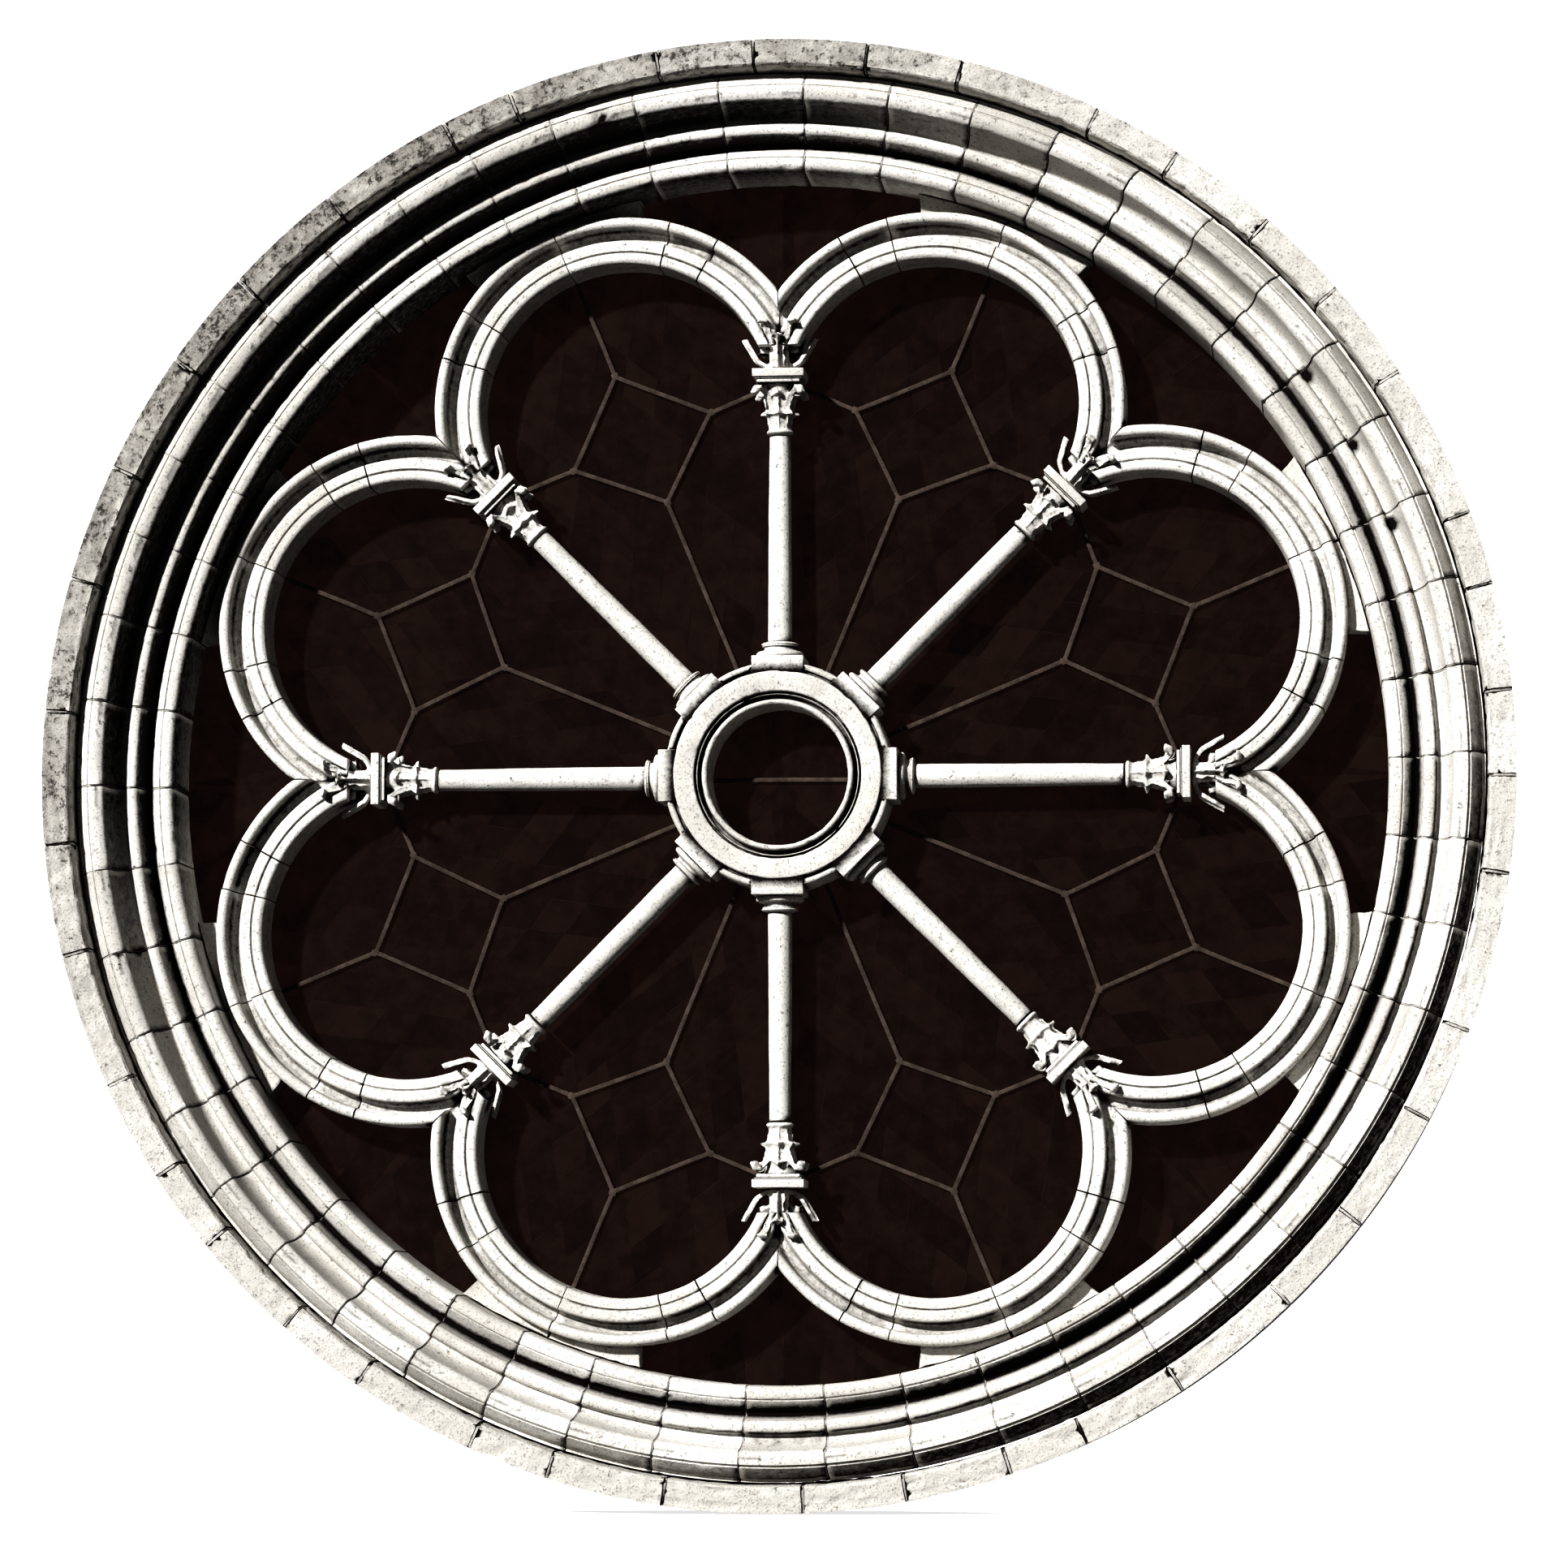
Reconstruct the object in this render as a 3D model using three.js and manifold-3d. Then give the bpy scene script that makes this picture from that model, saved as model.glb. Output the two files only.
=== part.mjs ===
// Rose window: an eight-spoke wheel of carved limestone in a moulded stone ring, with an iron
// frame and leaded glass behind it.
// Millimetres, +Z up. The window stands in the XZ plane and faces -Y. The origin is on the wheel's
// axis, in the flat back of the ring. Spokes are numbered clockwise from the top, seen from the
// front, and arches clockwise from the first one right of the top.

import * as THREE from 'three';
import { mergeVertices } from 'three/addons/utils/BufferGeometryUtils.js';
import Module from 'manifold-3d';

// Wheel layout
const SPOKES = 8;
const SPOKE_ANGLE = (2 * Math.PI) / SPOKES;
const PETAL_ANGLE = SPOKE_ANGLE / 2;
const JOINT_GAP = 0.3;

// Ring and outer band
const RING_SEGMENTS = 48;
const OPENING_RADIUS = 2490;
const REBATE_RADIUS = 2560;
const RING_RADIUS = 2880;
const WINDOW_RADIUS = 3000;
const WINDOW_DEPTH = 640;

// Depths behind and in front of the wheel stones, from the flat back at y = 0
const WHEEL_BACK = 112;
const WHEEL_AXIS = 226;
const BAR_THICKNESS = 20;
const GLAZING_THICKNESS = 8;

// Hub, along the radius
const HUB_SEGMENTS = 24;
const EYE_RADIUS = 286;
const HUB_RADIUS = 472;
const PEDESTAL_TOP = 494;
const PEDESTAL_WIDTH = 219;
const PEDESTAL_FRONT = 356;

// Spoke, along the radius from the hub outwards
const SHAFT_FOOT = 558;
const SHAFT_HEAD = 1415;
const SHAFT_FOOT_RADIUS = 51;
const SHAFT_HEAD_RADIUS = 45;
const ABACUS_BED = 1630;
const ABACUS_TOP = 1689;
const ABACUS_WIDTH = 216;
const SPRINGER_BLOCK_TOP = 1825;
const SPRINGER_BLOCK_WIDTH = 204;

// Round arches
const ARCH_SEGMENTS = 24;
const ARCH_OFFSET = 1660;
const ARCH_INNER = 602;
const ARCH_OUTER = 801;
const CROWN_JOINT = THREE.MathUtils.degToRad(36);
const WEB_END = THREE.MathUtils.degToRad(27);
const WEB_FRONT = 262;

// Iron frame, in one light: along the light's axis from the hub, and sideways from that axis
const BAR_WIDTH = 20;
const DIAMOND_OUTER = 1838;
const DIAMOND_SIDE = 1539;
const DIAMOND_INNER = 1263;
const DIAMOND_HALF_WIDTH = 309;
const TIE_END = 2545;
const SIDE_BAR_MEETING = 1669;
const FRAME_RING_INNER = 345;
const FRAME_RING_OUTER = 375;

const limestone = () =>
  new THREE.MeshStandardMaterial({ color: 0xe9e5da, roughness: 0.9, metalness: 0 });
const weatheredLimestone = () =>
  new THREE.MeshStandardMaterial({ color: 0xcfcabd, roughness: 0.95, metalness: 0 });
const wroughtIron = () =>
  new THREE.MeshStandardMaterial({ color: 0x4a443f, roughness: 0.7, metalness: 0.6 });
const darkGlass = () =>
  new THREE.MeshStandardMaterial({ color: 0x1a1310, roughness: 0.25, metalness: 0 });

const wasm = await Module();
wasm.setup();

// Welds a geometry's shared corners, drops the faces that collapse at a pole, and turns the body
// so that its faces point out.
function weld(geometry) {
  const bare = geometry.clone();
  bare.deleteAttribute('normal');
  bare.deleteAttribute('uv');
  const welded = mergeVertices(bare, 1e-3);
  const corner = (i) => new THREE.Vector3().fromBufferAttribute(welded.attributes.position, i);
  const kept = [];
  let volume = 0;
  for (let i = 0; i < welded.index.count; i += 3) {
    const [a, b, c] = [0, 1, 2].map((k) => welded.index.getX(i + k));
    if (a === b || b === c || c === a) continue;
    kept.push([a, b, c]);
    volume += corner(a).dot(corner(b).cross(corner(c)));
  }
  welded.setIndex(kept.flatMap(([a, b, c]) => (volume < 0 ? [a, c, b] : [a, b, c])));
  return welded;
}

function solid(geometry) {
  const welded = weld(geometry);
  return new wasm.Manifold(
    new wasm.Mesh({
      numProp: 3,
      vertProperties: new Float32Array(welded.attributes.position.array),
      triVerts: new Uint32Array(welded.index.array),
    }),
  );
}

function geometryOf(body) {
  const mesh = body.getMesh();
  const geometry = new THREE.BufferGeometry();
  geometry.setAttribute('position', new THREE.BufferAttribute(mesh.vertProperties, 3));
  geometry.setIndex(new THREE.BufferAttribute(mesh.triVerts, 1));
  return geometry;
}

const joined = (bodies) => bodies.reduce((whole, body) => whole.add(body));

// A closed profile of [radius, depth in front of the back] pairs, turned about the Y axis.
function turned(profile, segments) {
  const points = profile.map(([radius, depth]) => new THREE.Vector2(radius, -depth));
  return new THREE.LatheGeometry([...points, points[0]], segments);
}

// A profile of [height along the spoke, radius] pairs, turned about the spoke's own axis.
function turnedOnSpoke(profile, segments) {
  const first = profile[0];
  const last = profile[profile.length - 1];
  const points = [[first[0], 0], ...profile, [last[0], 0]].map(
    ([height, radius]) => new THREE.Vector2(radius, height),
  );
  return new THREE.LatheGeometry(points, segments, Math.PI / segments)
    .rotateX(Math.PI / 2)
    .translate(0, -WHEEL_AXIS, 0);
}

// A flat outline of [x, z] pairs, with a thickness from one depth to another.
function slab(outline, fromDepth, toDepth) {
  const shape = new THREE.Shape(outline.map(([x, z]) => new THREE.Vector2(x, z)));
  return new THREE.ExtrudeGeometry(shape, { depth: toDepth - fromDepth, bevelEnabled: false })
    .rotateX(Math.PI / 2)
    .translate(0, -fromDepth, 0);
}

function box(xSize, fromDepth, toDepth, fromHeight, toHeight) {
  return new THREE.BoxGeometry(xSize, toDepth - fromDepth, toHeight - fromHeight).translate(
    0,
    -(fromDepth + toDepth) / 2,
    (fromHeight + toHeight) / 2,
  );
}

// A wedge about the Y axis between two clockwise angles from +Z, held half a joint inside both.
function wedge(fromAngle, toAngle, reach) {
  const middle = (fromAngle + toAngle) / 2;
  const inset = JOINT_GAP / 2 / Math.sin((toAngle - fromAngle) / 2);
  const apex = [inset * Math.sin(middle), inset * Math.cos(middle)];
  const corner = (angle) => [
    apex[0] + reach * Math.sin(angle),
    apex[1] + reach * Math.cos(angle),
  ];
  return slab([apex, corner(fromAngle), corner(toAngle)], 0, WINDOW_DEPTH);
}

// A leaf: a tongue with a raised midrib that stands on z = 0, widest at two thirds of its length,
// and curls towards +X at its tip.
function leaf({ width, thickness, length, curl }) {
  const rows = 2;
  const blade = new THREE.CylinderGeometry(0.5, 0.5, length, 4, rows)
    .rotateX(Math.PI / 2)
    .translate(0, 0, length / 2);
  const spread = { 0: 0.55, 1: 1, 2: 0.4 };
  const rise = { 0: 0, 1: 0.62, 2: 1 };
  const position = blade.attributes.position;
  for (let i = 0; i < position.count; i += 1) {
    const row = Math.round((position.getZ(i) / length) * rows);
    const bend = curl * rise[row] ** 2;
    position.setX(i, position.getX(i) * thickness + bend);
    position.setY(i, position.getY(i) * width * spread[row]);
    position.setZ(i, length * rise[row] - (row === rows ? curl / 3 : 0));
  }
  return blade;
}

// Ring of voussoirs: rebate for the glazing, inner roll, small roll, hollow, large roll.
function ring() {
  const profile = [
    [REBATE_RADIUS, 0],
    [REBATE_RADIUS, WHEEL_BACK],
    [OPENING_RADIUS, WHEEL_BACK],
    [OPENING_RADIUS, 398],
    [2506, 434],
    [2546, 438],
    [2602, 382],
    [2640, 464],
    [2674, 468],
    [2690, 436],
    [2732, 468],
    [2766, 586],
    [2790, 614],
    [2818, 606],
    [2866, 546],
    [RING_RADIUS, 546],
    [RING_RADIUS, 0],
  ];
  return turned(profile, RING_SEGMENTS);
}

function outerBand() {
  const inner = RING_RADIUS + JOINT_GAP;
  const profile = [
    [inner, 0],
    [inner, 590],
    [2896, WINDOW_DEPTH],
    [WINDOW_RADIUS, WINDOW_DEPTH],
    [WINDOW_RADIUS, 0],
  ];
  return turned(profile, RING_SEGMENTS);
}

// Hub: a pierced block with a thin roll round the eye, a wide band and an outer roll, and a
// square pedestal under every spoke.
function hub() {
  const body = solid(
    turned(
      [
        [EYE_RADIUS, WHEEL_BACK],
        [EYE_RADIUS, 330],
        [301, 348],
        [316, 334],
        [329, 302],
        [346, 350],
        [424, 362],
        [436, 322],
        [450, 344],
        [HUB_RADIUS, 330],
        [HUB_RADIUS, WHEEL_BACK],
      ],
      HUB_SEGMENTS,
    ),
  );
  const pedestals = [];
  for (let k = 0; k < SPOKES; k += 1) {
    const block = box(PEDESTAL_WIDTH, WHEEL_BACK, PEDESTAL_FRONT, 400, PEDESTAL_TOP);
    pedestals.push(solid(block.rotateY(k * SPOKE_ANGLE)));
  }
  return geometryOf(joined([body, ...pedestals]));
}

// Base: a wide roll, a hollow and a narrow roll.
function base() {
  const foot = PEDESTAL_TOP + JOINT_GAP;
  return turnedOnSpoke(
    [
      [foot, 100],
      [foot + 18, 98],
      [foot + 28, 70],
      [foot + 46, 82],
      [SHAFT_FOOT, 62],
    ],
    8,
  );
}

function shaft() {
  return turnedOnSpoke(
    [
      [SHAFT_FOOT + JOINT_GAP, SHAFT_FOOT_RADIUS],
      [SHAFT_HEAD, SHAFT_HEAD_RADIUS],
    ],
    10,
  );
}

// Capital: neck roll, flared bell with a leaf on each face and a crocket at each corner, and a
// square abacus. The bell's rows are [height, radius on the faces, radius at the corners].
function capital() {
  const bed = SHAFT_HEAD + JOINT_GAP;
  const sides = 16;
  const rows = [
    [bed, 54, 54],
    [bed + 14, 60, 60],
    [bed + 28, 50, 50],
    [1522, 86, 62],
    [1556, 64, 92],
    [1604, 76, 150],
    [ABACUS_BED + 5, 88, 116],
  ];
  const bell = turnedOnSpoke(rows.map(([height]) => [height, 1]), sides)
    .translate(0, WHEEL_AXIS, 0)
    .rotateZ(Math.PI / sides);
  const position = bell.attributes.position;
  for (let i = 0; i < position.count; i += 1) {
    const [x, y, z] = [position.getX(i), position.getY(i), position.getZ(i)];
    const [, face, corner] = rows.find(([height]) => Math.abs(height - z) < 1);
    const towardCorner = Math.abs(Math.sin(2 * Math.atan2(y, x))) ** 3;
    const radius = face + (corner - face) * towardCorner;
    position.setXY(i, x * radius, y * radius);
  }
  const abacusFront = WHEEL_AXIS + ABACUS_WIDTH / 2;
  const abacusBack = WHEEL_AXIS - ABACUS_WIDTH / 2;
  const abacus = box(ABACUS_WIDTH, abacusBack, abacusFront, ABACUS_BED, ABACUS_TOP);
  return geometryOf(solid(bell.translate(0, -WHEEL_AXIS, 0)).add(solid(abacus)));
}

// Arch section: a broad band with rounded edges, a groove, and an outer roll.
function archBand() {
  const profile = [
    [ARCH_INNER, WHEEL_BACK],
    [ARCH_INNER, 296],
    [620, 318],
    [690, 320],
    [708, 256],
    [742, 256],
    [758, 336],
    [ARCH_OUTER, 322],
    [ARCH_OUTER, WHEEL_BACK],
  ];
  return turned(profile, ARCH_SEGMENTS);
}

// Crown stone: half of an arch's crown, with its part of the web that meets the ring.
function crownStone() {
  const band = solid(archBand().translate(0, 0, ARCH_OFFSET));
  const webReach = 200;
  const webInner = ARCH_OUTER - 15;
  const web = solid(
    slab(
      [
        [0, webInner],
        [webInner * Math.sin(WEB_END / 2), webInner * Math.cos(WEB_END / 2)],
        [webInner * Math.sin(WEB_END), webInner * Math.cos(WEB_END)],
        [(ARCH_OUTER + webReach) * Math.sin(WEB_END), (ARCH_OUTER + webReach) * Math.cos(WEB_END)],
        [0, ARCH_OUTER + webReach],
      ],
      WHEEL_BACK,
      WEB_FRONT,
    ).translate(0, 0, ARCH_OFFSET),
  );
  const holeRadius = OPENING_RADIUS - JOINT_GAP;
  const hole = solid(
    new THREE.CylinderGeometry(holeRadius, holeRadius, 2 * WINDOW_DEPTH, RING_SEGMENTS),
  );
  const cut = solid(wedge(0, CROWN_JOINT, 1300).translate(0, 0, ARCH_OFFSET));
  return geometryOf(band.add(web.intersect(hole)).intersect(cut));
}

// Springer: a forked stone on the abacus whose two arms are the feet of neighbouring arches,
// mitred on the spoke, with a carved leaf in front and a curled leaf on each side.
function springer() {
  const bed = ABACUS_TOP + JOINT_GAP;
  const archX = ARCH_OFFSET * Math.sin(PETAL_ANGLE);
  const archZ = ARCH_OFFSET * Math.cos(PETAL_ANGLE);
  const foot = THREE.MathUtils.degToRad(100);
  const arm = solid(
    archBand().rotateY(PETAL_ANGLE).translate(archX, 0, archZ),
  ).intersect(solid(wedge(PETAL_ANGLE - foot, PETAL_ANGLE - CROWN_JOINT, 1300)
    .translate(archX, 0, archZ)));
  const side = solid(
    slab([[0, bed], [ARCH_OFFSET, bed], [ARCH_OFFSET, 2 * bed], [0, 2 * bed]], 0, WINDOW_DEPTH),
  );
  const right = arm.intersect(side);
  const left = right.mirror([1, 0, 0]);
  const block = solid(
    box(SPRINGER_BLOCK_WIDTH, WHEEL_BACK + 4, 318, bed, SPRINGER_BLOCK_TOP),
  );
  const frontLeaf = leaf({ width: 120, thickness: 56, length: 196, curl: 30 });
  frontLeaf.rotateZ(-Math.PI / 2).translate(0, -308, bed + 6);
  const parts = [right, left, block, solid(frontLeaf)];
  for (const turn of [0, Math.PI]) {
    const sideLeaf = leaf({ width: 116, thickness: 52, length: 132, curl: 40 });
    sideLeaf.translate(86, 0, bed + 6).rotateZ(turn);
    parts.push(solid(sideLeaf.translate(0, -236, 0)));
  }
  return geometryOf(joined(parts));
}

// Iron frame: in every light a diamond, a tie out to the ring, a tie in to the middle and two
// side bars that meet their neighbours behind the capitals; a small ring behind the hub carries
// the inner ties and the saddle bar across the eye.
function ironwork() {
  const front = WHEEL_BACK - JOINT_GAP;
  const back = front - BAR_THICKNESS;
  const bar = ([x0, z0], [x1, z1], overrun) => {
    const length = Math.hypot(x1 - x0, z1 - z0) + 2 * overrun;
    return new THREE.BoxGeometry(BAR_WIDTH, BAR_THICKNESS, length)
      .rotateY(Math.atan2(x1 - x0, z1 - z0))
      .translate((x0 + x1) / 2, -(front + back) / 2, (z0 + z1) / 2);
  };
  const meeting = [
    SIDE_BAR_MEETING * Math.sin(PETAL_ANGLE),
    SIDE_BAR_MEETING * Math.cos(PETAL_ANGLE),
  ];
  const diamond = (grow) => [
    [0, DIAMOND_OUTER + 1.4 * grow],
    [DIAMOND_HALF_WIDTH + 1.4 * grow, DIAMOND_SIDE],
    [0, DIAMOND_INNER - 1.4 * grow],
    [-DIAMOND_HALF_WIDTH - 1.4 * grow, DIAMOND_SIDE],
  ];
  const frameRing = new THREE.CylinderGeometry(
    FRAME_RING_OUTER, FRAME_RING_OUTER, BAR_THICKNESS, SPOKES,
  );
  const frameHole = new THREE.CylinderGeometry(
    FRAME_RING_INNER, FRAME_RING_INNER, 2 * BAR_THICKNESS, SPOKES,
  );
  const bodies = [];
  for (const geometry of [frameRing, frameHole]) {
    geometry.rotateY(PETAL_ANGLE).translate(0, -(front + back) / 2, 0);
  }
  bodies.push(solid(frameRing).subtract(solid(frameHole)));
  bodies.push(solid(bar([-FRAME_RING_INNER, 0], [FRAME_RING_INNER, 0], 0)));
  for (let k = 0; k < SPOKES; k += 1) {
    const angle = PETAL_ANGLE + k * SPOKE_ANGLE;
    const outside = solid(slab(diamond(BAR_WIDTH / 2), back, front).rotateY(angle));
    const inside = solid(slab(diamond(-BAR_WIDTH / 2), 0, WINDOW_DEPTH).rotateY(angle));
    bodies.push(outside.subtract(inside));
    const bars = [
      bar([0, DIAMOND_OUTER], [0, TIE_END], 0),
      bar([0, FRAME_RING_INNER + BAR_WIDTH / 2], [0, DIAMOND_INNER], 0),
    ];
    for (const side of [-1, 1]) {
      const corner = [side * DIAMOND_HALF_WIDTH, DIAMOND_SIDE];
      bars.push(bar(corner, [side * meeting[0], meeting[1]], BAR_WIDTH / 4));
    }
    for (const piece of bars) bodies.push(solid(piece.rotateY(angle)));
  }
  return geometryOf(joined(bodies));
}

function glazing() {
  const radius = REBATE_RADIUS - JOINT_GAP;
  const front = WHEEL_BACK - BAR_THICKNESS - 2 * JOINT_GAP;
  return new THREE.CylinderGeometry(radius, radius, GLAZING_THICKNESS, HUB_SEGMENTS).translate(
    0,
    -(front - GLAZING_THICKNESS / 2),
    0,
  );
}

const window = new THREE.Group();

function place(name, geometry, material, angle = 0) {
  const mesh = new THREE.Mesh(weld(geometry), material);
  mesh.name = name;
  mesh.rotation.y = angle;
  window.add(mesh);
}

place('outer_band', outerBand(), weatheredLimestone());
place('moulded_ring', ring(), limestone());
place('hub', hub(), limestone());

const spokeStones = { base: base(), shaft: shaft(), capital: capital(), springer: springer() };
const rightCrown = crownStone();
const leftCrown = rightCrown.clone().scale(-1, 1, 1);
for (let k = 0; k < SPOKES; k += 1) {
  for (const [name, geometry] of Object.entries(spokeStones)) {
    place(`${name}_${k + 1}`, geometry, limestone(), k * SPOKE_ANGLE);
  }
  const petal = PETAL_ANGLE + k * SPOKE_ANGLE;
  place(`crown_stone_${k + 1}_left`, leftCrown, limestone(), petal);
  place(`crown_stone_${k + 1}_right`, rightCrown, limestone(), petal);
}

place('ironwork', ironwork(), wroughtIron());
place('glazing', glazing(), darkGlass());

export default window;
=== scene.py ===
"""Rose window: an eight-spoke wheel of carved limestone in a moulded stone ring, with iron bars and
dark leaded glass behind it.

Metres, +Z up. The window stands in the XZ plane and faces -Y. The origin is on the wheel's axis, in
the flat back of the ring. A place on a stone is given by its radius from the axis and its depth in
front of the back, so depth d is y = -d. Angles run clockwise from the top, seen from the front.
"""
import math
import random

import bmesh
import bpy
from bpy.props import FloatProperty, FloatVectorProperty, IntProperty, PointerProperty
from mathutils import Matrix, Vector, noise
from mathutils.bvhtree import BVHTree


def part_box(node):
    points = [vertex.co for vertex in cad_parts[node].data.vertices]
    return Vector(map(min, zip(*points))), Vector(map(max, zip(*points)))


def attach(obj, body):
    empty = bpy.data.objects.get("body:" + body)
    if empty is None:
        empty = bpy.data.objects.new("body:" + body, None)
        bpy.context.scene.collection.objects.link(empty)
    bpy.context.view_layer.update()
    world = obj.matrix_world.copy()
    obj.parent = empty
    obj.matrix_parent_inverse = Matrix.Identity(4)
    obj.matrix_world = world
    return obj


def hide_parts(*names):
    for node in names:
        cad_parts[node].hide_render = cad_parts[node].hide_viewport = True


bl_info = {
    "name": "Rose window",
    "version": (1, 0, 0),
    "blender": (4, 5, 0),
    "location": "View3D > Sidebar > Rose window",
    "description": "Carves a stone wheel window round its packed solids",
    "category": "Object",
}

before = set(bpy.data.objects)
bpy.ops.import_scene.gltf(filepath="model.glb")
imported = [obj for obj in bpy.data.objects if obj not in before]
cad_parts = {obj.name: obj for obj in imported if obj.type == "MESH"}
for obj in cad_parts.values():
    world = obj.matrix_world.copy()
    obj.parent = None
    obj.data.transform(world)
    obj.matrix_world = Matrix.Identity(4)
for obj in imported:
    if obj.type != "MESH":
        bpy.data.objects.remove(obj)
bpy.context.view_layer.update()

SPOKES = 8
SPOKE = math.tau / SPOKES
PETAL = SPOKE / 2
SHADE_SIDE = Vector((1, 0, -1)).normalized()  # away from the light: faces turned this way get painted shade

RING_LOW, RING_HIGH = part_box("moulded_ring")
BAND_LOW, BAND_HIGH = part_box("outer_band")
BASE_LOW, BASE_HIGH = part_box("base_1")
SHAFT_LOW, SHAFT_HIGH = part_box("shaft_1")
CAPITAL_LOW, CAPITAL_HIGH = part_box("capital_1")
IRON_LOW, IRON_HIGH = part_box("ironwork")
GLASS_LOW, GLASS_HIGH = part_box("glazing")


def linear(code):
    """An sRGB hex colour as linear red, green and blue."""
    parts = [int(code[i:i + 2], 16) / 255 for i in (1, 3, 5)]
    return tuple(c / 12.92 if c <= 0.04045 else ((c + 0.055) / 1.055) ** 2.4 for c in parts)


def colour(name, description, code):
    return FloatVectorProperty(
        name=name, description=description, subtype="COLOR", size=3, min=0, max=1,
        default=linear(code))


def length(name, description, default):
    return FloatProperty(name=name, description=description, unit="LENGTH", default=default, min=0)


class WINDOW_PG_ring(bpy.types.PropertyGroup):
    """The moulded ring and the rough course round it"""
    stones: IntProperty(
        name="Ring stones", description="Stones in the moulded ring", default=50, min=12)
    first_joint: FloatProperty(
        name="First joint", description="Angle of the first ring joint from the top",
        subtype="ANGLE", default=math.radians(-4.5))
    joint: length("Joint", "Width of the mortar joints in the ring", 0.004)
    opening: length("Opening radius", "Radius of the opening inside the ring", 2.490)
    rebate: length("Rebate radius", "Radius of the rebate that holds the glass", GLASS_HIGH.x)
    ring_radius: length("Ring radius", "Radius over the moulded ring", RING_HIGH.x)
    band_radius: length("Band radius", "Radius over the rough outer course", BAND_HIGH.x)
    depth: length("Depth", "Depth of the whole window", -BAND_LOW.y)
    band_stones: IntProperty(
        name="Outer stones", description="Stones in the rough outer course", default=41, min=12)


class WINDOW_PG_wheel(bpy.types.PropertyGroup):
    """The hub, the spokes and the arches"""
    back: length("Wheel back", "Depth of the flat back of the wheel stones", 0.112)
    axis: length("Spoke axis", "Depth of the middle of the shafts", 0.226)
    foot_radius: length("Shaft foot", "Radius of a shaft at its foot", 0.051)
    head_radius: length("Shaft head", "Radius of a shaft at its head", 0.045)
    abacus_width: length("Abacus width", "Width of the slab on a capital", 0.216)
    abacus_bed: length("Abacus bed", "Distance of a slab's underside from the axis", 1.630)
    arch_offset: length("Arch offset", "Distance of an arch's middle from the axis", 1.660)
    arch_inner: length("Arch inner radius", "Inner radius of a round arch", 0.602)
    arch_outer: length("Arch outer radius", "Outer radius of a round arch", 0.801)
    joint: length("Joint", "Width of the joints in the wheel", 0.0015)


class WINDOW_PG_grille(bpy.types.PropertyGroup):
    """The iron frame and the leaded glass"""
    bar: length("Bar width", "Width of an iron bar across the view", 0.018)
    bar_depth: length("Bar depth", "Thickness of an iron bar", 0.018)
    pane: length("Pane", "Distance between neighbouring leads", 0.135)
    lead: length("Lead width", "Width of a lead strip between two panes", 0.011)


class WINDOW_PG_finish(bpy.types.PropertyGroup):
    """The colours of the window's finishes"""
    stone: colour("Limestone", "Clean limestone face", "#DEDCD8")
    stone_shade: colour("Limestone shade", "Duller patches of the same stone", "#C2BFBA")
    patina: colour("Patina", "Grey weather crust on rough stone", "#75716C")
    # This dark colour paints soot and specks, and also painted shade in hollows and on faces turned
    # from the light.
    dirt_and_shade: colour("Dirt", "Soot and damp dirt in joints and hollows", "#1D1816")
    iron: colour("Iron", "Rusted wrought iron", "#564C46")
    iron_scale: colour("Iron scale", "Dark scale left on the iron", "#3F3732")
    glass: colour("Glass", "Old dark glass", "#0E0A09")
    glass_dust: colour("Glass dust", "Dust and weathering on the glass", "#1C1512")
    room: colour("Room", "Faint light of the room behind the glass", "#271C18")
    lead: colour("Lead", "Dull lead strips", "#3A322C")
    floor: colour("Floor", "Plain floor", "#FCFCFB")


class WINDOW_PG_stage(bpy.types.PropertyGroup):
    """The camera and the light"""
    azimuth: FloatProperty(
        name="Camera azimuth", description="How far right of the axis the camera stands",
        subtype="ANGLE", default=math.radians(5.5))
    elevation: FloatProperty(
        name="Camera elevation", description="How far above the axis the camera stands",
        subtype="ANGLE", default=math.radians(-5.5))
    distance: length("Camera distance", "Distance from the camera to the window", 24.0)
    view_width: length("View width", "Width of the picture at the window", 6.42)
    sun_strength: FloatProperty(
        name="Sun strength", description="Strength of the low sun", default=4.2, min=0)
    fill_strength: FloatProperty(
        name="Fill strength", description="Strength of the soft light from behind", default=2.4,
        min=0)
    sky_strength: FloatProperty(
        name="Sky strength", description="Strength of the light from all round", default=0.035,
        min=0)


GROUPS = {
    "window_ring": WINDOW_PG_ring,
    "window_wheel": WINDOW_PG_wheel,
    "window_grille": WINDOW_PG_grille,
    "window_finish": WINDOW_PG_finish,
    "window_stage": WINDOW_PG_stage,
}


def clockwise(angle):
    """Turns the top of the window towards its right, seen from the front."""
    return Matrix.Rotation(angle, 4, "Y")


# Profiles, as (radius, depth) pairs


def arc(centre, radii, start, end, count=8):
    """Points on an ellipse between two angles in degrees: 0 points outwards, 90 to the front."""
    angles = [math.radians(start + (end - start) * i / count) for i in range(count + 1)]
    return [
        (centre[0] + radii[0] * math.cos(a), centre[1] + radii[1] * math.sin(a)) for a in angles]


def quirk(points, radius, width=0.007, depth=0.008):
    """Cuts a fine V groove into a run of points that moves steadily outwards."""
    def surface(at):
        for (r0, d0), (r1, d1) in zip(points, points[1:]):
            if r0 <= at <= r1 and r1 > r0:
                return d0 + (d1 - d0) * (at - r0) / (r1 - r0)
        raise ValueError("the groove lies outside the moulding")
    inner, outer = radius - width / 2, radius + width / 2
    cut = [(inner, surface(inner)), (radius, surface(radius) - depth), (outer, surface(outer))]
    clear = 0.003
    return ([p for p in points if p[0] < inner - clear] + cut
            + [p for p in points if p[0] > outer + clear])


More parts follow.
